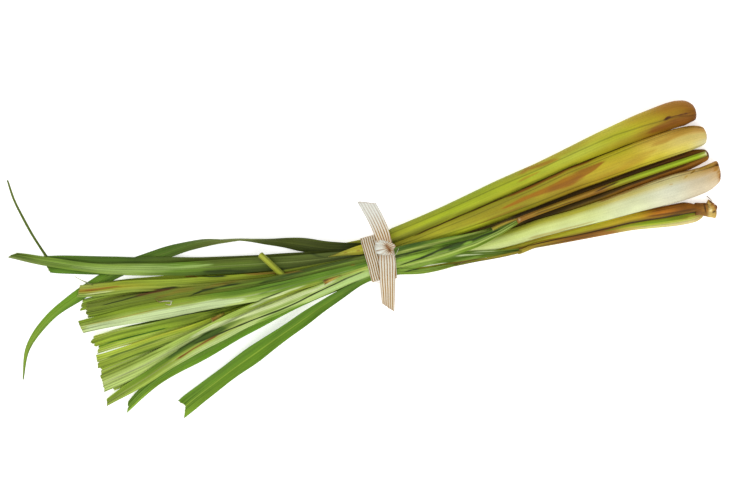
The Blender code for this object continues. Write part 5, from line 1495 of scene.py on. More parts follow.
def settleOn(z, need, plan):
    # raises a blade where it would cut what lies below: by its smallest smooth lift, which far
    # from the tie lifts the whole width and close to it lets the blade drape
    lack = np.maximum(need - z, 0)
    lift = lack.copy()
    for _ in range(bladeShape["easeRounds"]):
        eased = np.pad(lift, 1, mode="edge")
        eased = (eased[:-2, 1:-1] + eased[2:, 1:-1] + eased[1:-1, :-2] + eased[1:-1, 2:]) / 4
        lift = np.maximum(lack, eased)
    whole = lack.max(axis=1)
    level = whole.copy()
    for _ in range(bladeShape["stiffRounds"]):
        level[1:-1] = np.maximum(whole[1:-1], (level[:-2] + level[2:]) / 2 - bladeShape["stiffFall"])
    away = (np.abs(plan[:, 0] - bladeShape["tieAt"]) - bladeShape["stiffFrom"]) / bladeShape["stiffOver"]
    far = bladeShape["stiff"] * ease(away)
    return z + np.maximum(lift, (level * far)[:, None])


def layBlade(name, look, seed):
    # upper and lower skins over a grid of share x across; the far end is cut by moving its last
    # stations along the blade, with notches and a fine ragged edge
    shape = bladeShape
    node, loose = look.get("node", name), look.get("loose", 1.0)
    reach = np.ptp(look["route"], axis=0).max()
    plan, run = walk(look["route"], min(shape["step"], reach / shape["fewest"]))
    share = run / run[-1]
    keep = share >= look.get("from", 0) - shape["fromSpare"]
    plan, run, share = plan[keep], run[keep], share[keep]
    level = pile.under(plan[:, 0], plan[:, 1]) if look.get("laid") else Solid(node).middle(plan)
    level = soften(level, 3)
    across = np.linspace(-1, 1, shape["columns"])
    count = len(run)
    size = (count, len(across))
    calm = ease(np.abs(plan[:, 0] - shape["tieAt"]) / shape["calmOver"])
    side = soften(rightOf(plan), 2)
    stray = loose * shape["stray"] * calm * wander(count, shape["strayCells"], seed)
    plan = plan + side * stray[:, None]
    half = soften(readAt(look["half"], share), 2.5)
    half = half * (1 + shape["widthWave"] * calm * wander(count, shape["widthCells"], seed + 1))
    calm = (calm * loose)[:, None]
    rise = acrossProfile(look, share, across)
    rise += shape["wave"] * calm * wander(size, shape["waveCells"], seed + 2) * np.abs(across)
    rise += shape["ribbing"] * calm * wander(size, shape["ribbingCells"], seed + 6)
    rise -= loose * shape["furrow"] * np.exp(-((across / shape["furrowWidth"]) ** 2))
    lateral = half[:, None] * across
    roll = np.radians(readAt(look.get("roll", [(0, 0), (1, 0)]), share))
    roll = soften(roll, 4)[:, None]
    flat = lateral * np.cos(roll) - rise * np.sin(roll)
    z = level[:, None] + lateral * np.sin(roll) + rise * np.cos(roll)
    thick = shape["edgeThick"] + (shape["thick"] - shape["edgeThick"]) * (1 - np.abs(across) ** 3)
    need = pile.under(plan[:, :1] + flat * side[:, :1], plan[:, 1:] + flat * side[:, 1:])
    z = settleOn(z, need + thick / 2 + shape["spare"], plan)
    ahead = np.stack([-side[:, 1], side[:, 0]], axis=1)
    shift = endShift(look, run, across, seed)
    x = plan[:, :1] + flat * side[:, :1] + shift * ahead[:, :1]
    y = plan[:, 1:] + flat * side[:, 1:] + shift * ahead[:, 1:]
    keel = loose * shape["keel"] * np.exp(-((across / shape["keelWidth"]) ** 2))
    end, steep = shape["keelEnd"]
    keel = keel * ease((end - share) * steep)[:, None]
    over, under = thick / 2, thick / 2 + keel
    lean = np.stack([-np.sin(roll) * side[:, :1], -np.sin(roll) * side[:, 1:], np.cos(roll)], axis=2)
    middle = np.stack([x, y, z], axis=2)
    upper = middle + lean * np.broadcast_to(over, z.shape)[..., None]
    lower = middle - lean * np.broadcast_to(under, z.shape)[..., None]
    upper[..., 2] = np.maximum(upper[..., 2], shape["floor"] + shape["thinnest"])
    lower[..., 2] = np.maximum(lower[..., 2], shape["floor"])
    ring = bothSkins(upper, lower)
    grid = np.broadcast_to(thereAndBack(across), ring.shape[:2])
    left = (run[-1] + shift[-1]) - (run[:, None] + shift)
    facing = np.broadcast_to(np.repeat([1.0, 0.0], len(across)), grid.shape)
    marks = look.get("marks", []) + ([] if "plain" in look else bladeMarks)
    tint, cover = paintMarks(ring[..., 0], ring[..., 1], marks, seed + 4, facing)
    attributes = {
        "across": grid,
        "share": np.broadcast_to(share[:, None], grid.shape),
        "run": np.broadcast_to(run[:, None] + shape["runOffset"] * seed, grid.shape),
        "lateral": half[:, None] * grid + shape["lateralOffset"] * seed,
        "crease": valley(rise, half),
        "cover": cover,
        "tint": tint.reshape(-1, 3),
        "fray": bothSkins(left, left) + shape["endGap"],
    }
    faces = shellFaces(*size)
    rib, streaky, lift = look.get("ribWidth", 0.14), look.get("streaky", 0.62), look.get("lift", 1.0)
    finish = makePlantFinish(name, look["tones"], rib, streaky, lift)
    full = name + look.get("kind", "_blade")
    addPiece(full, ring.reshape(-1, 3), faces, finish, [node], attributes)
    pile.cover(upper)


def bothSkins(upper, lower):
    # rings that run along the upper skin and back along the lower one
    return np.concatenate([upper, lower[:, ::-1]], axis=1)


def thereAndBack(across):
    return np.concatenate([across, across[::-1]])


def valley(rise, half):
    # painted shade in the upper skin's folds, as strong as it folds inwards across the blade; the lower
    # skin has none
    step = 2 * half[:, None] / (rise.shape[1] - 1)
    bend = np.zeros_like(rise)
    bend[:, 1:-1] = (rise[:, 2:] - 2 * rise[:, 1:-1] + rise[:, :-2]) / step**2
    crease = np.clip(bend * bladeShape["creaseShade"], 0, bladeShape["creaseMost"])
    return np.concatenate([crease, np.zeros_like(rise)], axis=1)


def endShift(look, run, across, seed):
    # how far each point moves along the blade so that the end is cut as the dictionary says
    end = np.interp(across, [-1, 0, 1], look["cut"])
    for place, wide, depth in look.get("notches", ()):
        notch = np.clip(1 - np.abs(across - place) / (wide * cutShape["notchWidth"]), 0, 1)
        end = end - cutShape["notch"] * depth * notch
    end = end + cutShape["fringe"] * wander(len(across), cutShape["fringeCells"], seed + 5)
    reach = cutShape["reach"] + cutShape["reachShare"] * np.abs(end).max()
    near = np.clip(1 - (run[-1] - run) / reach, 0, 1)[:, None]
    return near ** cutShape["power"] * end[None, :]


for number, (name, look) in enumerate(leaves.items()):
    layBlade(name, look, seed=7 * number + 101)
print("blades laid")


# small pieces

stub = {
    "route": [(-84.6, 24.6), (-81, 18.6), (-73.4, 4.8)],
    "nose": (0.7, 0.86, 0.15),
    "swell": 1.2,
    "lip": [(0, 30), (1, 60)],
    "tones": ramps(
        [0, 1],
        [(128, 136, 44), (120, 130, 40)],
        [(164, 172, 66), (146, 156, 46)],
        [(170, 176, 70), (140, 150, 46)],
        cut=(206, 204, 140),
    ),
    "kind": "_piece",
    "slot": "yellow_blade",
}

# strips lie on what is below them, apart from the one that isn't laid and follows its node
strips = {
    "strand_back": {
        "node": "leaf_back_dark",
        "laid": False,
        "route": [(-229.3, 64.6), (-231, 69.4), (-234.1, 79.3), (-237.9, 95.5), (-240.5, 109.6),
            (-241.2, 123.8)],
        "half": [(0, 0.9), (0.5, 0.76), (0.9, 0.74), (1, 0.6)],
        "tones": ramps(
            [0, 0.5, 1],
            [(92, 112, 36), (100, 122, 42), (120, 138, 56)],
            [(84, 104, 32), (92, 112, 38), (112, 130, 50)],
            [(76, 92, 28), (84, 100, 34), (104, 120, 46)],
            rib=(110, 130, 54),
        ),
        "slot": "green_blade",
    },
    "fan_hair": {
        "node": "leaf_yellow_top",
        "route": [(-203.4, 36.4), (-210, 41.3), (-214.6, 45.7)],
        "half": [(0, 0.42), (1, 0.34)],
        "tones": ramps([0], [(120, 132, 60)], [(126, 138, 64)], [(120, 132, 60)], rib=(130, 140, 66)),
        "slot": "yellow_blade",
    },
    "sheath_wedge": {
        "node": "stalk_golden",
        "route": [(-8, 8), (-16, 8.4), (-27, 9.2), (-39, 9.8)],
        "half": [(0, 4), (0.3, 3.3), (0.65, 1.5), (0.9, 0.5), (1, 0.2)],
        "tones": ramps(
            [0, 1],
            [(156, 150, 44), (140, 140, 48)],
            [(180, 174, 54), (166, 164, 60)],
            [(168, 160, 48), (150, 150, 56)],
            rib=(190, 194, 96),
        ),
        "marks": [
            ((140, 106, 40), 0.6, 0.8, [(-16, 8, 0.5), (-19, 8.4, 0.6)]),
            ((140, 106, 40), 0.6, 0.8, [(-25, 9.6, 0.4), (-28, 9.2, 0.5)]),
            ((120, 84, 34), 0.5, 0.8, [(-30, 10.6, 0.4), (-37, 10.2, 0.4)]),
        ],
        "slot": "golden_sheath",
    },
    "torn_collar": {
        "node": "leaf_mid_fan",
        "route": [(-34, -5), (-40, -5.6), (-47, -6.6)],
        "half": [(0, 0.3), (0.4, 0.9), (0.8, 1.3), (1, 1.4)],
        "notches": [(-0.4, 0.2, 1.6), (0.4, 0.15, 1.8)],
        "tones": ramps(
            [0, 0.6, 1],
            [(180, 176, 90), (188, 152, 72), (138, 98, 34)],
            [(176, 184, 90), (196, 168, 84), (150, 114, 44)],
            [(170, 176, 80), (170, 126, 60), (140, 90, 38)],
            rib=(160, 120, 56),
        ),
        "slot": "yellow_blade",
    },
    "small_collar": {
        "node": "leaf_mid_fan",
        "route": [(-120, -8.2), (-124, -9), (-130, -10.4)],
        "half": [(0, 0.6), (0.5, 1.2), (1, 1.3)],
        "notches": [(0.3, 0.2, 0.8)],
        "tones": ramps(
            [0, 1],
            [(150, 140, 56), (128, 92, 38)],
            [(160, 150, 60), (150, 112, 46)],
            [(140, 130, 50), (126, 90, 38)],
            rib=(160, 130, 56),
        ),
        "slot": "yellow_blade",
    },
    "torn_bit": {
        "node": "leaf_olive_fan",
        "route": [(-163.5, 14.9), (-161.8, 12.4), (-158, 11.7), (-152, 10)],
        "half": [(0, 0.2), (0.5, 0.36), (1, 0.2)],
        "tones": ramps([0], [(166, 136, 70)], [(184, 158, 90)], [(140, 104, 48)], rib=(196, 176, 110)),
        "slot": "yellow_blade",
    },
    "torn_fleck": {
        "node": "leaf_olive_fan",
        "route": [(-157.8, 9.6), (-154.1, 8.2), (-153, 10.7)],
        "half": [(0, 0.2), (0.5, 0.34), (1, 0.2)],
        "tones": ramps([0], [(216, 206, 170)], [(220, 212, 180)], [(214, 200, 160)], rib=(232, 226, 200)),
        "slot": "yellow_blade",
    },
    "sheath_edge": {
        "node": "stalk_rooted",
        "route": [(92, -23.8), (75, -22.8), (61, -21.5), (44, -20.3)],
        "half": [(0, 0.8), (0.3, 1), (1, 0.7)],
        "tones": ramps(
            [0, 1],
            [(140, 120, 44), (120, 120, 36)],
            [(160, 146, 50), (144, 146, 44)],
            [(150, 136, 46), (130, 130, 40)],
            rib=(170, 160, 64),
        ),
        "slot": "golden_sheath",
    },
    "sheath_tongue": {
        "node": "leaf_olive_fan",
        "route": [(95, -0.8), (86, -1.5), (76, -3.2)],
        "half": [(0, 0.7), (0.5, 1), (1, 1.3)],
        "tones": ramps(
            [0, 1],
            [(150, 120, 44), (160, 150, 50)],
            [(160, 136, 46), (176, 166, 56)],
            [(120, 84, 30), (130, 110, 36)],
            rib=(170, 150, 56),
        ),
        "slot": "yellow_blade",
    },
    "root_hair": {
        "node": "stalk_rooted",
        "route": [(228.4, -22.4), (229.4, -24), (230.2, -26.6)],
        "half": [(0, 0.18), (1, 0.3)],
        "tones": ramps([0], [(150, 110, 60)], [(160, 120, 66)], [(150, 110, 60)], rib=(166, 130, 76)),
        "slot": "golden_sheath",
    },
}

stripLook = {
    "laid": True,
    "pleat": [(place, (0.1, 0.03, 0, 0.03, 0.1)) for place in (0, 1)],
    "cut": (0, 0, 0),
    "loose": 0.2,  # how much a strip wanders and ripples, against a leaf
    "plain": True,
    "kind": "",
}

growStalk("cut_stub", stub, seed=95)
for number, (name, look) in enumerate(strips.items()):
    layBlade(name, {**stripLook, **look}, seed=5 * number + 401)
print("small pieces laid")


# ribbon

ribbon = {
    "width": 11.6,
    "flatLength": 295.0,
    "thick": 0.45,
    "columns": 35,
    "step": 0.6,
    "sides": 120,
    "beside": 1.0,  # a turn goes round what lies this far beside it as well
    "slack": 0.10,  # how far a turn stands off what it goes round
    "seam": 8,  # a turn lies tight within this distance of where it meets itself
    "sway": 0.2,
    "turnOpen": 0.95,
    "turnEdge": (0.25, 12),  # shade at a turn's edges, and how narrow it is
    "turns": [  # lean and half are (y, mm) pairs on the cloth's middle line and half width
        {
            "middle": -8.8,
            "clear": 0.20,
            "tan": 0.75,
            "lean": [(-17, 0.2), (0, -0.2), (17, 0.4)],
            "half": [(0, 5.5)],
        },
        {
            "middle": 0.9,
            "clear": 0.75,
            "tan": 0.60,
            "lean": [(-17, -3.7), (-7, -1.3), (0, -0.2), (8, 0.5), (17, 0.9)],
            "half": [(-17, 5.4), (0, 5.4), (12, 4.7), (17, 4.5)],
        },
    ],
    "tailUp": {
        "route": [(1.6, 6.0), (1.5, 12), (0.1, 25), (-2.9, 38.4)],
        "half": [(0, 0.74), (0.25, 0.92), (1, 0.94)],
        "rise": [(0, 1.6), (0.25, 3.4), (0.5, 3.4), (1, 0.8)],  # over the knot's foot
        "roll": [(0, 0), (0.4, -6), (1, 8)],
        "cut": (4.4, 0.6, -3.2),
        "tan": [(0, 1.0), (0.25, 0.9), (0.5, 0.42), (0.75, 0.12), (1, 0.04)],
        "open": 0.7,
    },
    "tailDown": {
        "route": [(1.0, 3.4), (-1.0, -6), (-3.6, -16), (-6.0, -26), (-8.6, -35.8)],
        "half": [(0, 0.86), (0.22, 1.0), (0.5, 0.92), (1, 0.80)],
        "roll": [(0, 0), (0.4, 0), (0.7, 14), (1, 26)],
        "cut": (3.1, 0.3, -2.8),
        "tan": [(0, 0.35), (0.25, 0.45), (0.55, 0.7), (0.85, 0.95), (1, 1.0)],
        "open": 0.35,
    },
    "tailGap": 0.4,  # left between a tail and what it lies on
    "tailLeast": 0.5,  # height over the table
    "tailCup": 0.35,
    "cupMiddle": 0.4,
    "cupSteep": 4,  # the cup sets in over a tail's first quarter
    "tailWave": 0.22,
    "tailLines": 6 / 7,  # a tail shows this share of the cloth's lines
    "tailEdge": (0.2, 14),
    "cutShade": (0.5, 0.5),  # at a tail's cut, and over what length
    "rootShade": 0.25,  # over rootOver, from rootFrom on
    "rootFrom": 4,
    "rootOver": 5,
    "strays": [
        [(9.7, 1.9), (8.4, 0.4), (7.0, -1.2), (4.6, -2.2)],
        [(-11.5, -16.0), (-10.4, -17.2), (-9.2, -17.0)],
    ],
    "strayRadius": 0.11,
    "strayStep": 0.35,
    "strayGap": 0.3,
    "strayArch": 0.9,
    "strayRough": 0.8,
    "strayColour": (236, 230, 214),
    "floor": 0.02,
}

knot = {
    "rim": [(8.0, 4.5), (5.9, 7.2), (1.6, 10.4), (-3.5, 12.4), (-5.6, 8.4), (-6.1, 3.0),
        (-3.0, 0.9), (0.5, -0.4), (4.0, -0.9), (5.6, 1.8)],
    "rimStep": 0.12,
    "rings": 34,
    "innermost": 0.05,
    "tuck": (2.6, 4.2),
    "tuckSpread": (-0.8, 1.9),  # the folds end along a short line, not in one point
    "high": 3.6,
    "lowSide": 0.62,  # lower by this share towards lowAt, over lowOver
    "lowAt": 0.08,
    "lowOver": 0.42,
    "tuckDeep": 0.62,
    "tuckOver": 0.30,
    "folds": 13,
    "foldStart": 2.5,  # the folds set in over the first 0.4 of the way from the tuck to the rim
    "foldEnd": (1.04, 5),  # and fade out towards this share of it, this fast
    "foldSide": (0.65, 0.35, 2.9),  # they are higher towards one side: base, share, angle
    "foldRelief": 0.40,
    "foldSharp": 0.7,
    "twist": 0.5,
    "uneven": (1.3, 0.9, 0.5),  # two slow waves and the noise that make the folds irregular
    "unevenAt": 0.4,
    "foot": 0.4,  # how far the underside reaches into the turns below
    "above": 0.3,  # how far over the turns it sits
    "lift": 0.2,
    "ripple": 0.06,
    "domePower": 3.0,
    "valleyShade": (1.6, 0.05),  # in the folds, from this depth on
    "tuckShade": (0.9, 1.1),  # at the tuck, over this many mm
    "sideShade": (0.25, 0.9),  # on the side at minus this angle
    "rimShade": (0.5, 0.08, 1.2),  # at the rim, over this share, on the side towards this angle
    "tan": (0.02, 0.8, 2.6, 0.35),  # base, at the tuck, over this many mm, on one side
    "lines": 16,
}


weave = {
    "roughness": 0.85,
    "specular": 0.1,
    "patch": (1.6, 0.16, 3.0, 3.0),  # noise: per half width, per mm along, offset, detail
    "grain": (9.0, 1.6, 5.0, 2.0),
    "lines": 3.5,  # half waves of the brown lines over a half width
    "fine": 14,
    "weft": 0.95,  # mm from one cross thread to the next
    "patchSway": 0.7,
    "grainSway": 2.0,
    "lineEdge": (0.26, 0.72),
    "lineFull": 0.50,  # how much brown shows by how tan the cloth is
    "gapEdge": (0.10, 0.30),
    "gapBeside": 0.52,
    "weftEdge": (0.30, 0.75),
    "gapLeast": 0.5,
    "brownByWeft": (0.50, 0.5),  # the brown lines show by a base and a share of each field
    "brownByGrain": (0.45, 1.1),
    "brownByTan": (0.12, 1.0),
    "shadeFine": (0.6, 0.16),  # each field's middle and how much it darkens and lightens the cloth
    "shadeWeft": (0.6, 0.14),
    "shadeGrain": (0.5, 0.3),
    "relief": (0.4, 0.5, 0.3),  # height of the fine threads, the weft and the cloth between lines
    "light": (224, 226, 222),
    "aged": (222, 212, 194),
    "line": (166, 116, 32),
    # tone of the painted shade in the cloth's folds, at the tuck, at its edges and on one side of the
    # knot; foldShare is how far the cloth goes over to it
    "shadeTone": (148, 90, 26),
    "foldShare": 0.9,
    "level": 0.93,
    "blue": 0.935,
    "bump": 0.00012,
}


def makeRibbonFinish():
    # seven brown lengthwise threads broken by the cream cross threads, with open gaps beside
    # them; tan says how brown the cloth is and open how much shows through
    finish = Finish("ribbon_weave", weave["roughness"])
    finish.shader.inputs["Specular IOR Level"].default_value = weave["specular"]
    across, run = finish.value("across"), finish.value("run")
    tan, crease = finish.value("tan"), finish.value("crease")
    fields = []
    for label in ("patch", "grain"):
        wide, long, offset, detail = weave[label]
        fields.append(finish.noise(finish.vector(across * wide, run * long, offset), detail))
    patch, grain = fields
    warp = (across * (weave["lines"] * math.pi) + (patch - 0.5) * weave["patchSway"]).sine().size()
    fine = (across * (weave["fine"] * math.pi)).sine().size()
    weft = (run * (math.pi / weave["weft"]) + (grain - 0.5) * weave["grainSway"]).sine().size()
    brown = 1 - warp.between(*weave["lineEdge"])
    for field, rule in ((weft, "brownByWeft"), (grain, "brownByGrain"), (tan, "brownByTan")):
        base, share = weave[rule]
        brown = brown * (base + field * share)
    cloth = finish.mix(tan + (patch - 0.5) * weave["patchSway"], weave["light"], weave["aged"])
    colour = finish.mix(brown.between(0.0, weave["lineFull"]), cloth, weave["line"])
    # painted shade: the colour goes over to the brown shade tone where the shade attribute is high
    colour = finish.mix(crease * weave["foldShare"], colour, weave["shadeTone"])
    shading = weave["level"]
    for field, rule in ((fine, "shadeFine"), (weft, "shadeWeft"), (grain, "shadeGrain")):
        middle, share = weave[rule]
        shading = shading + (field - middle) * share
    colour = finish.shade(colour, shading, weave["blue"])
    finish.feed(finish.shader.inputs["Base Color"], colour)
    beside = 1 - (warp - weave["gapBeside"]).size().between(*weave["gapEdge"])
    holes = beside * weft.between(*weave["weftEdge"]) * finish.value("open") * (weave["gapLeast"] + grain)
    finish.feed(finish.shader.inputs["Alpha"], 1 - holes.between(0.0, 1.0))
    high, mid, low = weave["relief"]
    finish.bump(fine * high + weft * mid + (1 - warp) * low, weave["bump"])
    return finish.material


def snugLoop(middle, clearance):
    # even points in y and z on the convex loop round all that passes the tie, from its lowest
    # side round; each corner is where two neighbouring touching lines cross
    points = np.vstack(pile.samples)
    near = points[np.abs(points[:, 0] - middle) < ribbon["width"] / 2 + ribbon["beside"]][:, 1:]
    angle = np.linspace(0, 2 * math.pi, ribbon["sides"], endpoint=False) - math.pi / 2
    normal = np.stack([np.cos(angle), np.sin(angle)], axis=1)
    reach = (near @ normal.T).max(axis=0) + clearance
    following, beyond = np.roll(normal, -1, axis=0), np.roll(reach, -1)
    cross = normal[:, 0] * following[:, 1] - normal[:, 1] * following[:, 0]
    y = (reach * following[:, 1] - beyond * normal[:, 1]) / cross
    z = (beyond * normal[:, 0] - reach * following[:, 0]) / cross
    loop = np.stack([y, z], axis=1)
    loop = np.concatenate([loop, loop[:1]])
    length = np.concatenate([[0], np.cumsum(np.linalg.norm(np.diff(loop, axis=0), axis=1))])
    count = round(length[-1] / ribbon["step"])
    run = np.linspace(0, length[-1], count, endpoint=False)
    loop = np.stack([np.interp(run, length, loop[:, k]) for k in (0, 1)], axis=1)
    triple = soften(np.concatenate([loop] * 3), 1.6)
    return triple[count : 2 * count], run


def bandTurn(turn, seed):
    # one closed turn of cloth, standing a little off what it goes round
    loop, run = snugLoop(turn["middle"], turn["clear"])
    count = len(run)
    ahead = np.roll(loop, -1, axis=0) - np.roll(loop, 1, axis=0)
    ahead /= np.linalg.norm(ahead, axis=1)[:, None]
    outward = np.stack([ahead[:, 1], -ahead[:, 0]], axis=1)
    across = np.linspace(-1, 1, ribbon["columns"])
    seam = ease(np.minimum(run, run[-1] - run) / ribbon["seam"])[:, None]
    lift = ribbon["slack"] * seam * (1 + wander((count, len(across)), (8, 5), seed))
    lean = soften(readAt(turn["lean"], loop[:, 0]), 4)[:, None]
    half = soften(readAt(turn["half"], loop[:, 0]), 4)[:, None]
    x = turn["middle"] + lean + half * across
    x = x + ribbon["sway"] * seam * wander((count, 1), (7, 0), seed + 1)
    skins = []
    for rise in (lift + ribbon["thick"], lift * 0):
        y = loop[:, :1] + outward[:, :1] * rise
        z = loop[:, 1:] + outward[:, 1:] * rise
        skins.append(np.stack([x, y, np.maximum(z, ribbon["floor"])], axis=2))
    ring = bothSkins(*skins)
    width = thereAndBack(across)
    shade, narrow = ribbon["turnEdge"]
    faces = ringFaces(count + 1, len(width)) % (count * len(width))
    fields = {
        "across": np.broadcast_to(width, ring.shape[:2]),
        "run": np.broadcast_to(run[:, None], ring.shape[:2]),
        "tan": np.full(ring.shape[:2], turn["tan"]),
        "open": np.full(ring.shape[:2], ribbon["turnOpen"]),
        "crease": np.broadcast_to(shade * np.abs(width) ** narrow, ring.shape[:2]),
    }
    pile.cover(skins[0])
    return ring.reshape(-1, 3), faces, fields


def overTop(run, need):
    # the tightest line over the heights: the upper hull of height against distance
    kept = [0]
    for k in range(1, len(run)):
        while len(kept) > 1:
            a, b = kept[-2], kept[-1]
            if (need[b] - need[a]) * (run[k] - run[a]) > (need[k] - need[a]) * (run[b] - run[a]):
                break
            kept.pop()
        kept.append(k)
    return np.interp(run, run[kept], need[kept])


def freeEnd(look, foot, seed):
    # a flat end of ribbon with a slanted ragged cut, held up from the knot or lying over the bunch
    plan, run = walk(look["route"], ribbon["step"])
    share = run / run[-1]
    side = soften(rightOf(plan), 3)
    across = np.linspace(-1, 1, ribbon["columns"])
    half = ribbon["width"] / 2 * readAt(look["half"], share)
    lateral = half[:, None] * across
    roll = np.radians(readAt(look["roll"], share))[:, None]
    flat = lateral * np.cos(roll)
    places = plan[:, None] + flat[..., None] * side[:, None]
    need = pile.under(places[..., 0], places[..., 1]) + ribbon["tailGap"]
    if "rise" in look:
        level = foot + readAt(look["rise"], share)
        level = np.maximum(level, soften(need.max(axis=1), 2) * (share < 0.5))
    else:
        level = overTop(run, np.maximum(need - lateral * np.sin(roll), ribbon["tailLeast"]).max(axis=1))
    level = soften(level, 3)
    cup = ribbon["tailCup"] * (across**2 - ribbon["cupMiddle"])
    cup = cup + ribbon["tailWave"] * wander((len(run), len(across)), (9, 7), seed)
    z = level[:, None] + lateral * np.sin(roll) + cup * ease(share * ribbon["cupSteep"])[:, None]
    ahead = np.stack([-side[:, 1], side[:, 0]], axis=1)
    shift = endShift(look, run, across, seed)
    places = places + shift[..., None] * ahead[:, None]
    skins = []
    for rise, least in ((0.5, ribbon["floor"] + 0.2), (-0.5, ribbon["floor"])):
        height = np.maximum(z + rise * ribbon["thick"], least)
        skins.append(np.concatenate([places, height[..., None]], axis=2))
    ring = bothSkins(*skins)
    width = thereAndBack(across)
    gap = (run[-1] + shift[-1]) - (run[:, None] + shift)
    root = ribbon["rootShade"] * (1 - ease((run - ribbon["rootFrom"]) / ribbon["rootOver"]))
    cutShade, cutOver = ribbon["cutShade"]
    cut = cutShade * np.exp(-bothSkins(gap, gap) / cutOver)
    shade, narrow = ribbon["tailEdge"]
    fields = {
        "across": np.broadcast_to(width * ribbon["tailLines"], ring.shape[:2]),
        "run": np.broadcast_to(run[:, None], ring.shape[:2]),
        "tan": np.broadcast_to(readAt(look["tan"], share)[:, None], ring.shape[:2]),
        "open": np.full(ring.shape[:2], look["open"]),
        "crease": cut + shade * np.abs(width) ** narrow + root[:, None],
    }
    pile.cover(skins[0])
    return ring.reshape(-1, 3), shellFaces(len(run), len(across)), fields


def tieKnot(foot, seed):
    # a low dome of cloth over the rim's outline, sunk at the tuck, with folds that run into it
    rim = np.array(knot["rim"] + knot["rim"][:1], float)
    rim, _ = walk(np.concatenate([rim[-3:-1], rim, rim[1:3]]), knot["rimStep"])
    start = np.argmin(np.linalg.norm(rim[: len(rim) // 3] - knot["rim"][0], axis=1))
    stop = len(rim) // 2 + np.argmin(np.linalg.norm(rim[len(rim) // 2 :] - knot["rim"][0], axis=1))
    rim = rim[start:stop]
    tuck = np.array(knot["tuck"])
    reach = np.linspace(knot["innermost"], 1, knot["rings"])[:, None]
    size = (knot["rings"], len(rim))
    angle = np.arctan2(rim[:, 1] - tuck[1], rim[:, 0] - tuck[0])
    tuck = tuck + np.sin(angle)[:, None] * knot["tuckSpread"]
    plan = tuck + (rim - tuck) * reach[..., None]
    width = np.linalg.norm(rim - tuck, axis=1)
    bend = angle + knot["twist"] * (1 - reach) * np.sin(angle)
    slow, quick, random = knot["uneven"]
    phase = knot["folds"] * bend + slow * np.sin(2 * bend + knot["unevenAt"]) + quick * np.sin(5 * bend)
    phase = phase + random * wander(size, (9, 3), seed + 3)
    folds = 2 * np.abs(np.cos(phase / 2)) ** knot["foldSharp"] - 1
    end, steep = knot["foldEnd"]
    base, share, at = knot["foldSide"]
    folds = folds * ease((end - reach) * steep) * ease(reach * knot["foldStart"])
    folds = folds * (base + share * np.cos(angle - at))
    away = np.exp(-((np.angle(np.exp(1j * (angle - knot["lowAt"]))) / knot["lowOver"]) ** 2))
    high = knot["high"] * (1 - knot["lowSide"] * away)
    sunk = 1 - knot["tuckDeep"] * np.exp(-((reach / knot["tuckOver"]) ** 2))
    dome = high * (1 - reach ** knot["domePower"]) ** 0.5 * sunk
    top = foot + knot["lift"] + dome + knot["foldRelief"] * folds
    top = top + knot["ripple"] * wander(size, (3, 6), seed)
    upper = np.concatenate([plan, top[..., None]], axis=2)
    lower = np.concatenate([plan, np.full(top.shape + (1,), foot - knot["foot"])], axis=2)
    grid = np.concatenate([upper, lower[::-1]])
    inwards = reach * width
    # painted shade: in the valleys of the folds, at the tuck, on one side and at the rim
    amount, least = knot["valleyShade"]
    shade = amount * np.clip(-folds - least, 0, 1) * (0.5 + 0.5 * wander(size, (5, 2), seed + 5) ** 2)
    amount, over = knot["tuckShade"]
    shade = shade + amount * np.exp(-((inwards / over) ** 2))
    amount, at = knot["sideShade"]
    shade = shade + amount * np.clip(np.cos(angle + at), 0, 1)
    amount, over, at = knot["rimShade"]
    edge = np.exp(-(((reach - 1) / over) ** 2))
    shade = shade + amount * edge * np.clip(np.cos(angle - at) * 2, 0, 1)
    least, amount, over, side = knot["tan"]
    tan = least + amount * np.exp(-((inwards / over) ** 2)) + side * np.clip(np.cos(angle), 0, 1)
    turned = np.unwrap(np.concatenate([angle, angle[:1]]))[:-1]
    fields = {
        "across": np.broadcast_to(turned / (2 * math.pi) * knot["lines"] / weave["lines"], top.shape),
        "run": inwards,
        "tan": tan,
        "open": np.zeros_like(top),
        "crease": np.clip(shade, 0, 1),
    }
    fields = {label: np.concatenate([field, field[::-1]]) for label, field in fields.items()}
    return closeEnds(grid, fields)


def joinParts(parts):
    # points and faces of several closed parts as one mesh
    points, faces, base = [], [], 0
    for made, rings in parts:
        points.append(made)
        faces += [tuple(int(corner) + base for corner in face) for face in rings]
        base += len(made)
    return np.concatenate(points), faces


def strayThreads():
    # thin round threads that stand away from the cloth's edges
    parts = []
    for line in ribbon["strays"]:
        plan, run = walk(line, ribbon["strayStep"])
        side = rightOf(plan)
        turn = np.linspace(0, 2 * math.pi, 8, endpoint=False)
        arch = ribbon["strayArch"] * np.sin(math.pi * run / run[-1])
        high = soften(pile.under(plan[:, 0], plan[:, 1]) + ribbon["strayGap"] + arch, 2)
        flat = plan[:, None] + ribbon["strayRadius"] * np.cos(turn)[None, :, None] * side[:, None]
        z = high[:, None] + ribbon["strayRadius"] * np.sin(turn)
        parts.append(closeEnds(np.concatenate([flat, z[..., None]], axis=2), {})[:2])
    points, faces = joinParts(parts)
    finish = Finish("stray_thread", ribbon["strayRough"])
    finish.shader.inputs["Base Color"].default_value = paint(ribbon["strayColour"])
    return addPiece("ribbon_stray_threads", points, faces, finish.material, ["ribbon_tie"])


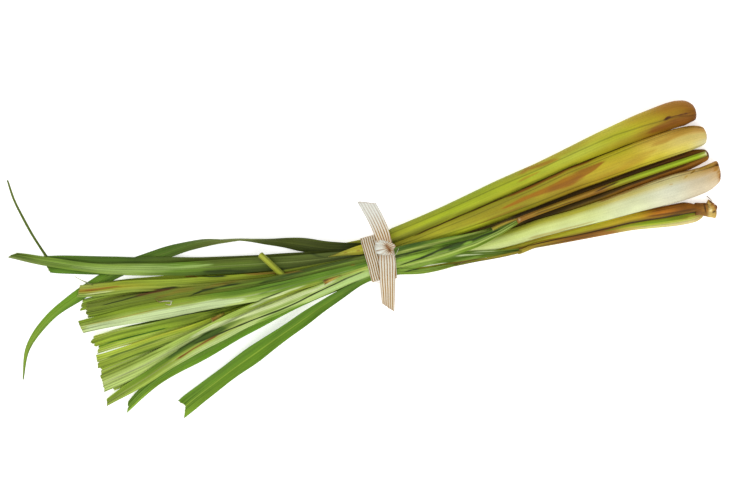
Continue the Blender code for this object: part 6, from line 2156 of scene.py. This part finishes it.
def tieRibbon():
    parts = [bandTurn(turn, 300 + 10 * k) for k, turn in enumerate(ribbon["turns"])]
    rim = np.array(knot["rim"])
    spans = [np.linspace(*span, 20) for span in zip(rim.min(axis=0), rim.max(axis=0))]
    foot = np.percentile(pile.under(*np.meshgrid(*spans)), 90)
    parts.append(freeEnd(ribbon["tailDown"], foot, 331))
    parts.append(freeEnd(ribbon["tailUp"], foot, 341))
    parts.append(tieKnot(foot + knot["above"], 351))
    points, faces = joinParts([part[:2] for part in parts])
    fields = {}
    for label in parts[0][2]:
        fields[label] = np.concatenate([np.ravel(part[2][label]) for part in parts])
    finish = makeRibbonFinish()
    cloth = addPiece("ribbon_cloth", points, faces, finish, ["ribbon_tie"], fields)
    threads = strayThreads()


tieRibbon()
print("ribbon tied")


# stage

view = {
    "aim": (-8.3, 7.8, 8.0),  # what the middle of the view shows
    "turn": 16.0,  # degrees that the view is turned against the row's axes
    "width": 520.0,
    "distance": 1600.0,
    "sensor": 36.0,
    "floor": 6.0,  # half the floor's side, in metres
    "paper": (0.90, 0.90, 0.90, 1),
    "paperRough": 0.9,
    "paperGlow": 0.50,
    "world": 0.62,
}


def rowPoint(x, y, z):
    return Vector(((x - planMiddle[0]) * mm, (y - planMiddle[1]) * mm, z * mm))


def addCamera():
    data = bpy.data.cameras.new("camera")
    data.sensor_width = view["sensor"]
    data.lens = view["sensor"] * view["distance"] / view["width"]
    data.clip_end = 20
    camera = bpy.data.objects.new("camera", data)
    bpy.context.scene.collection.objects.link(camera)
    x, y, z = view["aim"]
    camera.location = rowPoint(x, y, z + view["distance"])
    camera.rotation_euler = (0, 0, -math.radians(view["turn"]))
    bpy.context.scene.camera = camera


def addLamp(name, place, size, power, tint=(1, 1, 1)):
    # a soft box that looks at the middle of the bunch; place is in the view's axes, in metres
    data = bpy.data.lights.new(name, "AREA")
    data.shape, data.size, data.energy, data.color = "SQUARE", size, power, tint
    lamp = bpy.data.objects.new(name, data)
    bpy.context.scene.collection.objects.link(lamp)
    turn = -math.radians(view["turn"])
    x, y, z = place
    lamp.location = (x * math.cos(turn) - y * math.sin(turn), x * math.sin(turn) + y * math.cos(turn), z)
    lamp.rotation_euler = (-lamp.location).to_track_quat("-Z", "Y").to_euler()


def addFloor():
    mesh = bpy.data.meshes.new("floor")
    square = ((-1, -1), (1, -1), (1, 1), (-1, 1))
    corners = [(x * view["floor"], y * view["floor"], 0) for x, y in square]
    mesh.from_pydata(corners, [], [(0, 1, 2, 3)])
    finish = Finish("floor_paper", view["paperRough"])
    finish.shader.inputs["Base Color"].default_value = view["paper"]
    finish.shader.inputs["Emission Color"].default_value = (1, 1, 1, 1)
    finish.shader.inputs["Emission Strength"].default_value = view["paperGlow"]
    mesh.materials.append(finish.material)
    floor = bpy.data.objects.new("floor", mesh)
    bpy.context.scene.collection.objects.link(floor)


def addWorld(strength):
    world = bpy.data.worlds.new("studio")
    world.use_nodes = True
    background = world.node_tree.nodes["Background"]
    background.inputs["Color"].default_value = (1, 1, 1, 1)
    background.inputs["Strength"].default_value = strength
    bpy.context.scene.world = world


addCamera()
addFloor()
addLamp("key_box", (0.2, -0.62, 1.15), 0.9, 8.5)
addLamp("fill_box", (-0.3, 0.8, 1.1), 1.2, 4)
addWorld(view["world"])
bpy.context.scene.view_settings.view_transform = "Standard"
print("stage set")
